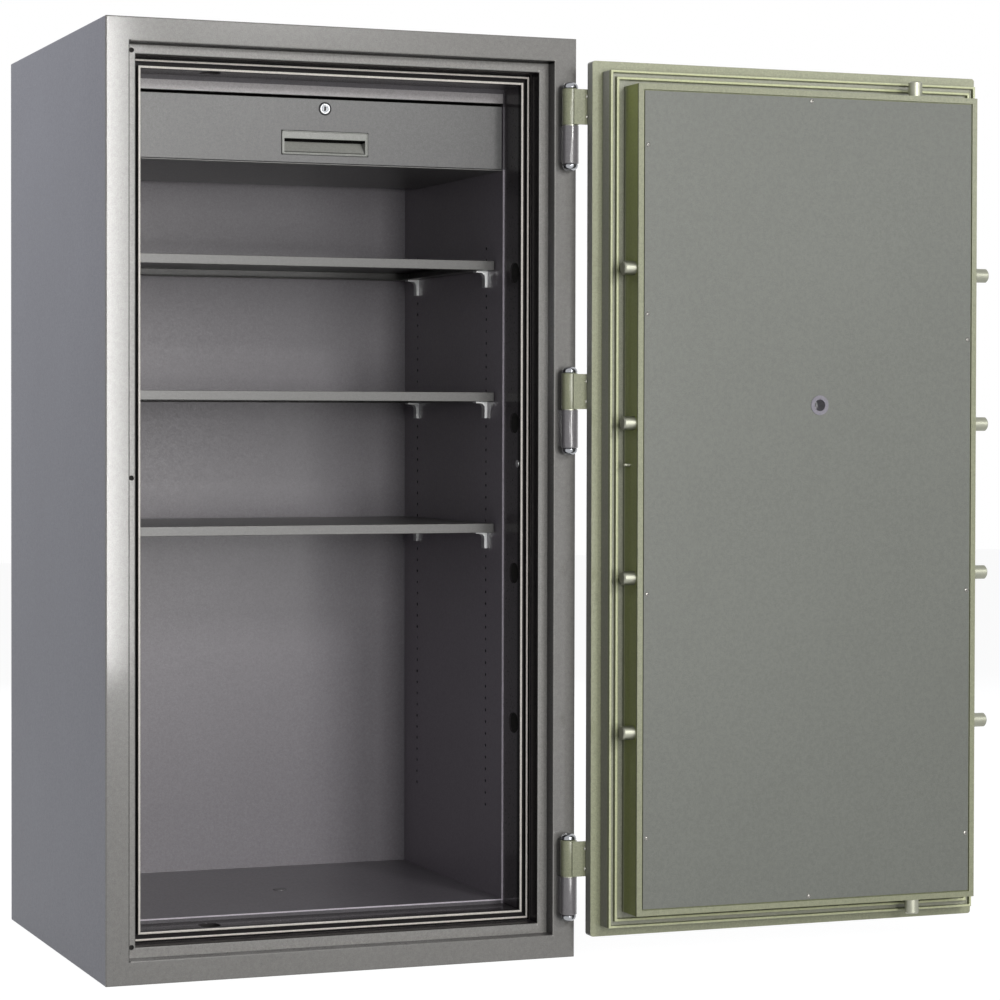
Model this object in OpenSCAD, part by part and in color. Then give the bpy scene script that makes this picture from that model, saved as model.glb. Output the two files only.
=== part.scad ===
/* [Body] */
// Overall width of the body
body_w = 784; // [700:2:900]
// Overall height of the body
body_h = 1500; // [1440:10:1640]
// Overall depth of the body, front face to back
body_d = 690; // [650:10:780]
// Sheet thickness of the outer shell and the front frame
shell_t = 3; // [2:0.5:4]
// Sheet thickness of the room's liner
liner_t = 2; // [1.5:0.5:3]
// Shell, fill and liner behind the room
back_wall = 62; // [45:1:80]
// Radius of the frame's folded edges
edge_r = 2; // [1:0.5:2.5]

/* [Door opening] */
// Width of the flat frame face round the opening
frame_face = 38; // [30:1:50]
// Depth of the recess that takes the door's flange
recess_d = 28; // [28:1:36]
// Width of the seat face behind the flange
seat_w = 16.5; // [12:0.5:18]
// Depth of the step from the seat to the tops of the ribs
step_d = 35; // [35:1:42]
// Gap between the step wall and the first rib
rib_gap = 3; // [2:0.5:5]
// Width of the first rib
rib_w = 3.5; // [2.5:0.5:5]
// Width of the groove between the ribs
groove_w = 6.5; // [5:0.5:9]
// Depth of the grooves
groove_d = 9; // [6:1:12]
// Width of the second rib
rib2_w = 4; // [3.5:0.5:6]
// Depth of the throat, from the rib tops to the room
throat_d = 75; // [70:1:90]
// Step from the throat to the room, at the sides
room_step = 3; // [2.5:0.5:6]
// Step from the throat to the room, at the floor and ceiling
rise_step = 7.5; // [5:0.5:10]
// Depth of the bolt pockets behind the throat wall
pocket_d = 17; // [15:1:25]
// Height of the bolt holes in the throat
bolt_hole_d = 33.5; // [30:0.5:36]
// Length of the bolt holes, along the depth
bolt_hole_l = 41; // [36:1:46]
// Offset of the bolt holes towards the room
bolt_hole_off = 3; // [2:0.5:3]
// Radius of the ribs' edges, in the frame and on the door
rib_r = 1.5; // [0.5:0.25:2]
// Diameter of the relief holes in the seat on the latch side
relief_d = 8; // [6:0.5:9]
// Height of the middle relief hole above the floor
relief_z = 787; // [700:1:850]

/* [Door] */
// Gap between the door plate and the recess
door_gap = 3; // [2:0.5:4]
// Thickness of the door plate's flange
plate_t = 21; // [18:1:24]
// How far the door's face stands proud of the frame
plate_proud = 1; // [0:0.5:2]
// Radius of the door plate's corners
plate_r = 5; // [2:1:12]
// Sheet thickness of the door plate
plate_sheet = 4; // [3:0.5:5]
// Width of the flange outside the step
flange_w = 17.5; // [17.5:0.5:21]
// Height of the door's step, from the flange to the rib tops
door_step = 35; // [32:1:35]
// Width of the door's first rib
door_rib_w = 4; // [3:0.5:5]
// Width of the door's groove
door_groove_w = 6.5; // [5:0.5:7]
// Width of the door's second rib
door_rib2_w = 4.5; // [3:0.5:5]
// Width of the channel between the second rib and the bolt box
channel_w = 11; // [10:0.5:14]
// Depth of the channel and groove below the rib tops
door_groove_d = 8; // [5:1:10]
// Height of the bolt box above the flange
box_rise = 87; // [84:1:90]
// Sheet thickness of the bolt box
box_t = 3; // [2:0.5:4]
// Width of the rim round the back cover
rim_w = 9; // [7:1:14]
// Thickness of the back cover
cover_t = 2.5; // [2:0.5:3]
// Gap round the back cover
cover_gap = 2; // [1:0.5:2.5]
// Distance of the cover's screws from its edge
screw_edge = 5.5; // [4.5:0.5:8]
// Height of the lowest screw beside the hinges above the cover's lower edge
screw_low = 114; // [80:1:140]
// Height of the next screw above that
screw_rise = 391; // [340:1:450]
// Distance of the highest screw beside the hinges below the cover's upper edge
screw_top = 86; // [80:1:140]
// Distance of the next screw below that
screw_drop = 270; // [240:1:320]
// Height of the lowest screw on the latch side above the cover's lower edge
far_low = 96; // [80:1:140]
// Height of the next screw above that
far_rise = 406; // [340:1:450]
// Distance of the highest screw on the latch side below the cover's upper edge
far_top = 390; // [360:1:420]

/* [Boltwork] */
// Diameter of the bolts
bolt_d = 23; // [20:1:25]
// Depth of the bolt line behind the rim of the bolt box
bolt_back = 17.5; // [16:0.5:19]
// Spacing of the inner pair of side bolts
bolt_pitch = 248; // [220:2:280]
// Throw of the latch side bolts
latch_throw = 28; // [24:1:28]
// Throw of the hinge side bolts
hinge_throw = 20; // [17:1:22]
// Throw of the top and bottom bolts
end_throw = 25; // [22:1:26]
// Distance of the handle from the latch side's bolt bar
handle_in = 57; // [56:1:70]
// Clearance round sliding bolts and turning pins
run_gap = 0.1; // [0.04:0.01:0.1]
// Diameter of the handle's spindle
spindle_d = 16; // [12:1:20]
// Length of the handle's lever
lever_l = 120; // [90:5:140]
// Diameter of the dial
dial_d = 76; // [60:2:90]
// Height of the dial above the door's centre
dial_up = 175; // [165:1:190]
// Width of the combination lock's case
lock_w = 62; // [62:1:70]
// Height of the combination lock's case
lock_h = 84; // [84:1:92]
// Width of the hard plate in front of the lock
guard_w = 180; // [140:2:200]
// Height of the hard plate
guard_h = 160; // [140:2:200]
// Distance of the change key hole from the dial's axis, sideways
key_side = 16.5; // [8:0.5:18]
// Distance of the change key hole below the dial's axis
key_drop = 21; // [18:0.5:24]
// Bore of the change key hole's bush
key_d = 19; // [16:0.5:20]
// Distance of the bolt bars inside the bolt box
bar_in = 50.5; // [48:0.5:60]
// Thickness of the bolt bars
bar_t = 6; // [5:0.5:8]
// Overlength of the bolt bars beyond the outer bolts
bar_over = 28; // [20:1:40]
// Distance of the guides from the outer bolts
guide_off = 60; // [50:1:80]
// Height of a guide
guide_h = 16; // [12:1:24]
// Depth of the sockets for the spindles in handle and dial
socket_l = 12; // [8:1:16]
// Diameter of the dial's spindle
dial_pin_d = 8; // [6:0.5:9]
// Flutes round the dial's grip
dial_flutes = 30; // [20:1:40]
// Projection of the trip pin from the bolt box
trip_out = 11; // [9:0.5:11.5]
// Diameter of the trip pin
trip_d = 6; // [5:0.5:8]

/* [Hinges] */
// Distance of the hinge axis from the body's side
axis_in = 18; // [16:0.5:19]
// Distance of the hinge axis in front of the frame
axis_out = 17.8; // [17.6:0.1:20]
// Diameter of the hinge barrels
barrel_d = 27.5; // [24:0.5:28]
// Diameter of the hinge pins
hinge_pin_d = 16; // [12:1:18]
// Length of the upper knuckle
knuckle_up = 58.5; // [45:0.5:65]
// Length of the lower knuckle
knuckle_low = 62; // [45:1:70]
// Height of the hinge caps
cap_h = 11; // [8:1:14]
// Thickness of the bearing ring
ring_t = 1.5; // [1:0.5:3]
// Distance of the top hinge joint below the body's top
hinge_top = 144; // [135:1:170]
// Distance of the bottom hinge joint above the floor
hinge_low = 135; // [130:1:160]
// Height of the middle hinge joint above the body's centre
hinge_mid = 145; // [100:5:180]

/* [Room] */
// Diameter of the holes for the shelf clips
clip_hole_d = 5.5; // [4:0.5:7]
// Pitch of the clip holes
clip_pitch = 20; // [15:1:25]
// Distance of the highest clip hole below the drawer's cabinet
clip_top = 125; // [110:1:150]
// Least height of the clip holes above the room's floor
clip_low = 149; // [120:1:200]
// Distance of the front clip holes behind the room's front edge
clip_front = 77; // [67:1:92]
// Distance of the rear clip holes from the back wall
clip_back = 69; // [50:1:90]
// Width of a clip
clip_w = 15; // [12:0.5:18]
// Length of a clip's tab under the shelf
clip_tab = 21; // [16:0.5:24]
// Thickness of a clip's leg
clip_t = 5; // [4:0.5:6]
// Which hole carries the upper shelf, counted from the highest
shelf_hole_a = 2; // [1:1:5]
// Which hole carries the middle shelf
shelf_hole_b = 13; // [9:1:18]
// Which hole carries the lower shelf
shelf_hole_c = 24; // [21:1:30]
// Height of a shelf's folded edge
shelf_h = 15.5; // [12:0.5:20]
// Sheet thickness of the shelves
shelf_t = 1.5; // [1:0.5:2.5]
// Width of the shelves' returned lips
shelf_lip = 25; // [22:1:35]
// Gap between a shelf and the side walls
shelf_gap = 2; // [2:0.5:4]
// Distance of the shelves' front behind the room's front edge
shelf_front = 34; // [22:1:47]
// Gap between the shelves and the back wall
shelf_back = 26; // [16:1:40]
// Diameter of the anchor hole through the base
anchor_d = 16; // [12:1:20]
// Diameter of the plug's hole in the room's floor
plug_d = 19; // [17:0.5:24]
// Height of the anchor hole, up to the plug's wider hole
anchor_l = 60; // [50:1:64]
// Distance of the anchor hole behind the room's front edge
anchor_back = 225; // [200:5:280]
// Offset of the drawer's pull and lock towards the hinges
centre_off = 6.5; // [0:0.5:10]

/* [Drawer] */
// Height of the rail over the drawer
rail_h = 17.5; // [14:0.5:24]
// Height of the drawer's front
drawer_h = 105.5; // [90:0.5:130]
// Gap between the drawer's front and the rail
drawer_gap = 2; // [1:0.5:4]
// Thickness of the drawer's front
front_t = 12; // [8:1:16]
// Depth of the drawer
drawer_d = 390; // [340:5:410]
// Sheet thickness of the drawer and its cabinet
drawer_t = 2; // [1:0.5:2.5]
// Depth of the runners' section
runner_w = 12.5; // [10:0.5:16]
// How far the drawer pulls out
drawer_out = 300; // [250:5:330]
// Width of the pull
pull_w = 148; // [110:2:180]
// Height of the pull
pull_h = 39; // [34:1:45]
// Diameter of the drawer lock's ring
lock_ring_d = 22; // [18:1:26]

/* [Hidden] */
$fn = 64;

// Depths are measured from the frame's front face and insets from the outside
yf = -body_d / 2;
half_w = body_w / 2;
step_in = frame_face + seat_w;
step_floor = recess_d + step_d + groove_d;
throat_in = step_in + rib_gap + rib_w + groove_w + rib2_w;
room_v = recess_d + step_d + throat_d;
room_x = half_w - throat_in - room_step;
room_z0 = throat_in + rise_step;
room_z1 = body_h - room_z0;
room_end = body_d - back_wall;

// Door, closed, in the same measures
door_in = frame_face + door_gap;
door_w = body_w - 2 * door_in;
door_h = body_h - 2 * door_in;
flange_v = plate_t - plate_proud;
door_ribs_v = flange_v + door_step;
tray_v = door_ribs_v - door_groove_d;
box_in = flange_w + door_rib_w + door_groove_w + door_rib2_w + channel_w;
box_v = flange_v + box_rise;
box_x = door_w / 2 - box_in;
box_z1 = body_h - door_in - box_in;
bolt_v = box_v - bolt_back;
hole_v = bolt_v + bolt_hole_off;
ribs_v = recess_d + step_d;
mid_z = body_h / 2;
bolt_zs = [for (k = [-1.5, -0.5, 0.5, 1.5]) mid_z + k * bolt_pitch];
ledge_t = 2.5;
ledge_v = box_v - cover_t - 0.5;
dial_z = mid_z + dial_up;
case_z = dial_z - 10;
lock_low = case_z - lock_h / 2;
trip_z = mid_z + 57;
trip_give = 6;
trip_v = bolt_v - 14.5;
strike_v = trip_v + 1.5;
key_x = -key_side;
key_z = dial_z - key_drop;

// Hinge axis and the door's pose, swung right back
axis_x = half_w - axis_in;
axis_y = yf - axis_out;
door_open = 180;
hinge_zs = [body_h - hinge_top, mid_z + hinge_mid, hinge_low];
leaf_t = 6;
leaf_l = 60;
axial_gap = 0.2;

// Mechanism layers inside the bolt box
plate_v = tray_v + 4;
disc_t = 5;
layer_t = 5;
layer_a = plate_v + disc_t + 2;
layer_b = layer_a + layer_t + 2;
layer_c = layer_b + layer_t + 2;
bar_x = box_x - bar_in;
handle_off = bar_x - handle_in;
pin_r = 4;
turn = 60;

// Drawer
rail_z0 = room_z1 - rail_h;
front_z1 = rail_z0 - drawer_gap;
front_z0 = front_z1 - drawer_h;
cab_z0 = front_z0 - 0.5 - drawer_t;
cab_v = room_v + front_t + 2;
cab_x = room_x - 0.2;
tray_x = cab_x - drawer_t - runner_w;
tray_back = room_v + front_t + drawer_d;
tray_z0 = front_z0 + 3;
tray_z1 = front_z1 - 30;
runner_z = (tray_z0 + tray_z1) / 2;
runner_h = 35;
lock_z = front_z1 - 17;
pull_z0 = front_z0 + 12.5;

// Clip holes, counted downwards from the highest
clip_vs = [room_v + clip_front, room_end - clip_back];
clip_count = floor((cab_z0 - clip_top - room_z0 - clip_low) / clip_pitch) + 1;
function clip_z(k) = cab_z0 - clip_top - k * clip_pitch;
anchor_v = room_v + anchor_back;

// Rounds a path's square corners: each point holds its place and a radius
function rounded_path(p) = [for (i = [0 : len(p) - 1]) each
    let (a = p[(i + len(p) - 1) % len(p)], b = p[i], c = p[(i + 1) % len(p)], r = b[2],
        ua = [sign(a[0] - b[0]), sign(a[1] - b[1])], uc = [sign(c[0] - b[0]), sign(c[1] - b[1])])
    r == 0 ? [[b[0], b[1]]]
        : [for (t = [0 : 30 : 90]) [b[0], b[1]] + r * (ua + uc) - r * (uc * cos(t) + ua * sin(t))]];

steel_side = [0.54, 0.545, 0.575];
steel_front = [0.63, 0.625, 0.615];
olive = [0.56, 0.58, 0.43];
grey_green = [0.50, 0.51, 0.47];
bright = [0.78, 0.79, 0.81];
fill_grey = [0.72, 0.70, 0.66];
dark = [0.25, 0.25, 0.26];

// A box between two depths, inset from the body's outside, or from w by h
module slab(inset_x, inset_z, v0, v1, w = body_w, h = body_h) {
    translate([inset_x - w / 2, yf + v0, (body_h - h) / 2 + inset_z])
        cube([w - 2 * inset_x, v1 - v0, h - 2 * inset_z]);
}

// A rectangular ring between two insets
module band(in0, in1, v0, v1, w = body_w, h = body_h) {
    difference() {
        slab(in0, in0, v0, v1, w, h);
        slab(in1, in1, v0 - 1, v1 + 1, w, h);
    }
}

module door_slab(inset, v0, v1) slab(inset, inset, v0, v1, door_w, door_h);
module door_band(in0, in1, v0, v1) band(in0, in1, v0, v1, door_w, door_h);

// A round bar along Y between two depths
module pin_y(x, z, v0, v1, d) {
    translate([x, yf + v0, z]) rotate([-90, 0, 0]) cylinder(d = d, h = v1 - v0);
}

// A round bar along X between two places
module pin_x(x0, x1, v, z, d) {
    translate([x0, yf + v, z]) rotate([0, 90, 0]) cylinder(d = d, h = x1 - x0);
}

module pin_z(x, v, z0, z1, d) {
    translate([x, yf + v, z0]) cylinder(d = d, h = z1 - z0);
}

// A plain block by x, depth and z
module block(x0, x1, v0, v1, z0, z1) {
    translate([x0, yf + v0, z0]) cube([x1 - x0, v1 - v0, z1 - z0]);
}

module both_sides() {
    children();
    mirror([1, 0, 0]) children();
}

// Swings the closed door's pieces about the hinge axis
module on_door() {
    translate([axis_x, axis_y, 0]) rotate([0, 0, door_open])
        translate([-axis_x, -axis_y, 0]) children();
}

// Sweeps a profile of inset and depth round a rectangle, mitred at its corners
module swept_ring(w, h, mitre) {
    z0 = (body_h - h) / 2;
    both_sides() intersection() {
        translate([w / 2, yf, z0]) mirror([1, 0, 0]) linear_extrude(h) children();
        translate([0, yf + body_d / 2, 0]) rotate([90, 0, 0]) linear_extrude(body_d)
            polygon([[w / 2 + 1, z0 - 1], [w / 2 + 1, z0 + h + 1],
                [w / 2 - mitre, z0 + h - mitre], [w / 2 - mitre, z0 + mitre]]);
    }
    for (s = [0, 1]) translate([0, 0, s * body_h]) mirror([0, 0, s]) intersection() {
        translate([-w / 2, yf, z0]) rotate([90, 0, 90]) linear_extrude(w) mirror([1, -1, 0]) children();
        translate([0, yf + body_d / 2, 0]) rotate([90, 0, 0]) linear_extrude(body_d)
            polygon([[-w / 2 - 1, z0 - 1], [w / 2 + 1, z0 - 1],
                [w / 2 - mitre, z0 + mitre], [mitre - w / 2, z0 + mitre]]);
    }
}

// Oblong holes or pockets for all ten bolts, from the throat wall outwards
module bolt_holes(from_in, depth) {
    half_l = (bolt_hole_l - bolt_hole_d) / 2;
    both_sides() for (z = bolt_zs) {
        for (s = [-1, 1]) pin_x(half_w - from_in, half_w - from_in + depth, hole_v + s * half_l, z, bolt_hole_d);
        block(half_w - from_in, half_w - from_in + depth, hole_v - half_l, hole_v + half_l,
            z - bolt_hole_d / 2, z + bolt_hole_d / 2);
    }
    for (z0 = [from_in - depth, body_h - from_in]) {
        for (s = [-1, 1]) pin_z(-handle_off, hole_v + s * half_l, z0, z0 + depth, bolt_hole_d);
        block(-handle_off - bolt_hole_d / 2, -handle_off + bolt_hole_d / 2,
            hole_v - half_l, hole_v + half_l, z0, z0 + depth);
    }
}

module outer_shell() color(steel_side) difference() {
    slab(0, 0, shell_t, body_d);
    slab(shell_t, shell_t, shell_t - 1, body_d - shell_t);
    pin_z(0, anchor_v, -1, shell_t + 1, anchor_d);
}

// Folded jamb: face, recess, seat, step, two ribs and the throat
module jamb_profile() {
    r = min(rib_r, rib_w / 2 - 0.1, rib2_w / 2 - 0.1);
    rib_in = step_in + rib_gap;
    polygon(rounded_path([
        [0, 0, edge_r], [0, shell_t, 0], [frame_face - shell_t, shell_t, 0],
        [frame_face - shell_t, recess_d + shell_t, 0], [step_in - shell_t, recess_d + shell_t, 0],
        [step_in - shell_t, step_floor + shell_t, 0], [throat_in - shell_t, step_floor + shell_t, 0],
        [throat_in - shell_t, room_v, 0], [throat_in, room_v, 0],
        [throat_in, ribs_v, r], [throat_in - rib2_w, ribs_v, r], [throat_in - rib2_w, step_floor, 0],
        [rib_in + rib_w, step_floor, 0], [rib_in + rib_w, ribs_v, r], [rib_in, ribs_v, r],
        [rib_in, step_floor, 0], [step_in, step_floor, 0], [step_in, recess_d, edge_r],
        [frame_face, recess_d, 0], [frame_face, 0, edge_r]]));
}
module front_frame() color(steel_front) difference() {
    swept_ring(body_w, body_h, throat_in + 5) jamb_profile();
    bolt_holes(throat_in + 1, shell_t + 2);
    pin_x(half_w - throat_in - 1, half_w - throat_in + shell_t + 1, strike_v, trip_z, 6.2);
    for (z = [step_in, relief_z, body_h - frame_face - 0.65 * seat_w])
        pin_y(frame_face + 0.6 * seat_w - half_w, z, recess_d - 1, recess_d + shell_t + 1, relief_d);
}

module fire_fill() color(fill_grey) difference() {
    slab(shell_t, shell_t, shell_t, body_d - shell_t);
    slab(frame_face - shell_t, frame_face - shell_t, 0, recess_d + shell_t);
    slab(step_in - shell_t, step_in - shell_t, 0, step_floor + shell_t);
    slab(throat_in - shell_t, throat_in - shell_t, 0, room_v + liner_t);
    slab(half_w - room_x - liner_t, room_z0 - liner_t, 0, room_end + liner_t);
    bolt_holes(throat_in - shell_t + 1, pocket_d + 1);
    pin_z(0, anchor_v, 0, anchor_l + 1, anchor_d);
    pin_z(0, anchor_v, anchor_l, room_z0, plug_d);
}

// Floor, ceiling, back and the turned-out front edge
module inner_liner() color(steel_front) difference() {
    union() {
        slab(throat_in - shell_t, throat_in - shell_t, room_v, room_v + liner_t);
        slab(half_w - room_x - liner_t, room_z0 - liner_t, room_v, room_end + liner_t);
    }
    slab(half_w - room_x, room_z0, 0, room_end);
    slab(half_w - room_x - liner_t - 1, room_z0, room_v + liner_t, room_end);
    pin_z(0, anchor_v, room_z0 - liner_t - 1, room_z0 + 1, plug_d);
}

// Two perforated side walls
module side_panels() color(dark) both_sides()
    translate([room_x, yf, 0]) rotate([90, 0, 90]) linear_extrude(liner_t) difference() {
        translate([room_v + liner_t, room_z0])
            square([room_end - room_v - liner_t, room_z1 - room_z0]);
        for (v = clip_vs, k = [0 : clip_count - 1])
            translate([v, clip_z(k)]) circle(d = clip_hole_d, $fn = 24);
    }

// A folded shelf with returned lips, open underneath
module shelf(hole) {
    z0 = clip_z(hole) + clip_rest;
    x = room_x - shelf_gap;
    v0 = room_v + shelf_front;
    v1 = room_end - shelf_back;
    color(grey_green) difference() {
        block(-x, x, v0, v1, z0, z0 + shelf_h);
        block(-x + shelf_t, x - shelf_t, v0 + shelf_t, v1 - shelf_t, z0 + shelf_t, z0 + shelf_h - shelf_t);
        block(-x + shelf_lip, x - shelf_lip, v0 + shelf_lip, v1 - shelf_lip, z0 - 1, z0 + 3);
    }
}
module shelf_upper() shelf(shelf_hole_a);
module shelf_middle() shelf(shelf_hole_b);
module shelf_lower() shelf(shelf_hole_c);

// Gusseted clips, each with two pegs in its holes and a tab under the shelf
clip_rest = 1.5;
module clip_profile() polygon([[0.1, 0], [clip_tab, 0], [clip_tab, -2.5],
    for (t = [0 : 15 : 90]) [clip_t + 8 - 8 * sin(t), -3 - 8 * (1 - cos(t))],
    [clip_t, -clip_pitch - 7.5], [0.1, -clip_pitch - 7.5]]);
module shelf_clips() color(bright) both_sides()
    for (hole = [shelf_hole_a, shelf_hole_b, shelf_hole_c], v = clip_vs) {
        z = clip_z(hole);
        translate([room_x, yf + v + clip_w / 2, z + clip_rest]) mirror([1, 0, 0])
            rotate([90, 0, 0]) linear_extrude(clip_w) clip_profile();
        for (peg_z = [z, z - clip_pitch])
            pin_x(room_x - 0.5, room_x + liner_t - 0.3, v, peg_z, clip_hole_d - 0.5);
    }

module cabinet_shell() {
    difference() {
        block(-cab_x, cab_x, cab_v - 1, tray_back + 20, cab_z0, room_z1);
        block(-cab_x + drawer_t, cab_x - drawer_t, cab_v - 2, tray_back + 20 - drawer_t,
            cab_z0 + drawer_t, room_z1 - drawer_t);
    }
    block(-cab_x, cab_x, room_v + 1, cab_v, cab_z0, cab_z0 + drawer_t);
}
module drawer_cabinet() color(grey_green) cabinet_shell();

// Folded rail across the cabinet's front, behind which the cam turns
module drawer_rail() color(grey_green) difference() {
    block(-cab_x, cab_x, room_v, cab_v - 1, rail_z0, room_z1);
    block(-cab_x - 1, cab_x + 1, room_v + drawer_t, cab_v, rail_z0 + drawer_t, room_z1 - drawer_t);
}

// Channels screwed to the cabinet's sides
module cabinet_runners() color(bright) both_sides() difference() {
    x1 = cab_x - drawer_t;
    block(x1 - runner_w + 2, x1, cab_v + 4, tray_back, runner_z - runner_h / 2, runner_z + runner_h / 2);
    block(x1 - runner_w, x1 - 2, cab_v, tray_back + 1,
        runner_z - runner_h / 2 + 2, runner_z + runner_h / 2 - 2);
}

// A knuckle with its lug, under joint height zj
module hinge_lug(zj) color(steel_front) difference() {
    union() {
        translate([axis_x, axis_y, zj - knuckle_low + 1.5]) cylinder(d = barrel_d, h = knuckle_low - 1.5);
        translate([axis_x, axis_y, zj - knuckle_low]) cylinder(d1 = barrel_d - 3, d2 = barrel_d, h = 1.5);
        block(axis_x - 11, axis_x + 11, -axis_out, 0, zj - knuckle_low + 3, zj);
    }
    translate([axis_x, axis_y, zj - knuckle_low - 1]) cylinder(d = hinge_pin_d + 0.1, h = knuckle_low + 2);
}
module hinge_lug_top() hinge_lug(hinge_zs[0]);
module hinge_lug_middle() hinge_lug(hinge_zs[1]);
module hinge_lug_bottom() hinge_lug(hinge_zs[2]);

module hinge_pins() color(bright) for (zj = hinge_zs)
    translate([axis_x, axis_y, zj - knuckle_low])
        cylinder(d = hinge_pin_d, h = knuckle_low + ring_t + knuckle_up - 1);

module hinge_rings() color(bright) for (zj = hinge_zs) translate([axis_x, axis_y, zj]) difference() {
    cylinder(d = barrel_d - 2, h = ring_t);
    translate([0, 0, -1]) cylinder(d = hinge_pin_d + 0.1, h = ring_t + 2);
}

// A domed cap, standing up from z = 0
module cap() {
    r = barrel_d / 2 - 1.5;
    rotate_extrude() polygon([[0, 0], [r, 0],
        for (a = [0 : 15 : 90]) [r * cos(a), cap_h * (0.45 + 0.55 * sin(a))]]);
}
module hinge_caps_lower() color(bright) for (zj = hinge_zs)
    translate([axis_x, axis_y, zj - knuckle_low]) mirror([0, 0, 1]) cap();
module hinge_caps_upper() color(bright) on_door() for (zj = hinge_zs)
    translate([axis_x, axis_y, zj + ring_t + axial_gap + knuckle_up]) cap();

module strike_button() color(bright) {
    pin_x(half_w - throat_in - 1.2, half_w - throat_in, strike_v, trip_z, 12);
    pin_x(half_w - throat_in - 0.5, half_w - throat_in + shell_t - 0.2, strike_v, trip_z, 6);
}

module anchor_plug() color(dark) translate([0, yf + anchor_v, room_z0]) rotate_extrude()
    polygon([[0, -8], [plug_d / 2 - 1.2, -8], [plug_d / 2 - 0.2, -7], [plug_d / 2 - 0.2, 0],
        [plug_d / 2 + 2.5, 0], [plug_d / 2 + 2.2, 0.9], [plug_d / 2, 1.5], [0, 1.5]]);

// Front sheet with folded edges and a returned flange
module door_plate() color(olive) on_door() difference() {
    translate([-door_w / 2, yf + flange_v, door_in]) rotate([90, 0, 0]) linear_extrude(plate_t)
        rounded(door_w, door_h, plate_r);
    door_slab(plate_sheet, plate_sheet - plate_proud, flange_v - 3);
    door_slab(flange_w, flange_v - 4, flange_v + 1);
    pin_y(-handle_off, mid_z, -plate_proud - 1, plate_sheet + 1, spindle_d + 2 * run_gap);
    pin_y(0, dial_z, -plate_proud - 1, plate_sheet + 1, dial_pin_d + 2 * run_gap);
}

// A rectangle with round corners, one corner at the origin
module rounded(w, h, r) {
    translate([r, 0]) square([w - 2 * r, h]);
    translate([0, r]) square([w, h - 2 * r]);
    for (x = [r, w - r], z = [r, h - r]) translate([x, z]) circle(r = r);
}

// Stepped tray with its two ribs, welded inside the flange
module step_profile() {
    r = min(rib_r, door_rib_w / 2 - 0.1, door_rib2_w / 2 - 0.1);
    rib = flange_w + door_rib_w;
    rib2 = rib + door_groove_w;
    polygon(rounded_path([
        [flange_w, flange_v - 3, 0], [flange_w, door_ribs_v, r], [rib, door_ribs_v, r], [rib, tray_v, 0],
        [rib2, tray_v, 0], [rib2, door_ribs_v, r], [rib2 + door_rib2_w, door_ribs_v, r],
        [rib2 + door_rib2_w, tray_v, 0], [box_in, tray_v, 0], [box_in, tray_v - 3, 0],
        [flange_w + 3, tray_v - 3, 0], [flange_w + 3, flange_v - 3, 0]]));
}
module door_tray() color(olive) on_door() difference() {
    union() {
        swept_ring(door_w, door_h, box_in + 5) step_profile();
        door_slab(box_in, tray_v - 3, tray_v);
    }
    pin_y(-handle_off, mid_z, tray_v - 4, tray_v + 1, spindle_d + 2 * run_gap);
    pin_y(0, dial_z, tray_v - 4, tray_v + 1, dial_pin_d + 2 * run_gap);
}

module door_fill() color(fill_grey) on_door() difference() {
    union() {
        door_slab(plate_sheet, plate_sheet - plate_proud, flange_v - 3);
        door_slab(flange_w + 3, flange_v - 4, tray_v - 3);
    }
    pin_y(-handle_off, mid_z, 0, tray_v, spindle_d + 4);
    pin_y(0, dial_z, 0, tray_v, dial_pin_d + 4);
}

module bolt_bores(d) {
    for (z = bolt_zs) pin_x(-box_x - 1, box_x + 1, bolt_v, z, d);
    pin_z(-handle_off, bolt_v, body_h - box_z1 - 1, box_z1 + 1, d);
}

// Four walls, a rim and a ledge for the cover
module bolt_box() color(olive) on_door() difference() {
    union() {
        door_band(box_in, box_in + box_t, tray_v, box_v);
        door_band(box_in, box_in + rim_w, box_v - 3, box_v);
        door_band(box_in, box_in + rim_w + 12, ledge_v - ledge_t, ledge_v);
    }
    bolt_bores(bolt_d + 2 * run_gap);
    pin_x(0, box_x + 1, trip_v, trip_z, trip_d + 2 * run_gap);
    cover_holes(ledge_v - ledge_t - 1, ledge_v + 1, 5.2);
}

cover_in = box_in + rim_w + cover_gap;
screw_in = cover_in + screw_edge;
cover_z0 = door_in + cover_in;
cover_z1 = body_h - cover_z0;
screw_zs = [cover_z0 + screw_low, cover_z0 + screw_low + screw_rise,
    cover_z1 - screw_top - screw_drop, cover_z1 - screw_top];
far_zs = [cover_z0 + far_low, cover_z0 + far_low + far_rise, cover_z1 - far_top];
module cover_holes(v0, v1, d) {
    x = door_w / 2 - screw_in;
    for (z = screw_zs) pin_y(x, z, v0, v1, d);
    for (z = far_zs) pin_y(-x, z, v0, v1, d);
    for (z = [door_in + screw_in, body_h - door_in - screw_in]) pin_y(0, z, v0, v1, d);
}

module back_cover() color(grey_green) on_door() difference() {
    door_slab(cover_in, ledge_v, ledge_v + cover_t);
    cover_holes(ledge_v - 1, ledge_v + cover_t + 1, 5.2);
    pin_y(key_x, key_z, ledge_v - 1, ledge_v + cover_t + 1, key_d + 3.4);
}

module cover_screws() color(grey_green) on_door() {
    cover_holes(ledge_v - ledge_t - 1, ledge_v + cover_t + 0.5, 5);
    cover_holes(ledge_v + cover_t, ledge_v + cover_t + 1.8, 9);
}

// Ring and tube round the lock's change key hole
module key_bush() color(steel_front) on_door() difference() {
    union() {
        pin_y(key_x, key_z, case_v1, ledge_v + cover_t + 0.5, key_d + 3);
        pin_y(key_x, key_z, ledge_v + cover_t, ledge_v + cover_t + 1, key_d + 13);
    }
    pin_y(key_x, key_z, case_v1 - 1, ledge_v + cover_t + 2, key_d);
}

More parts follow.
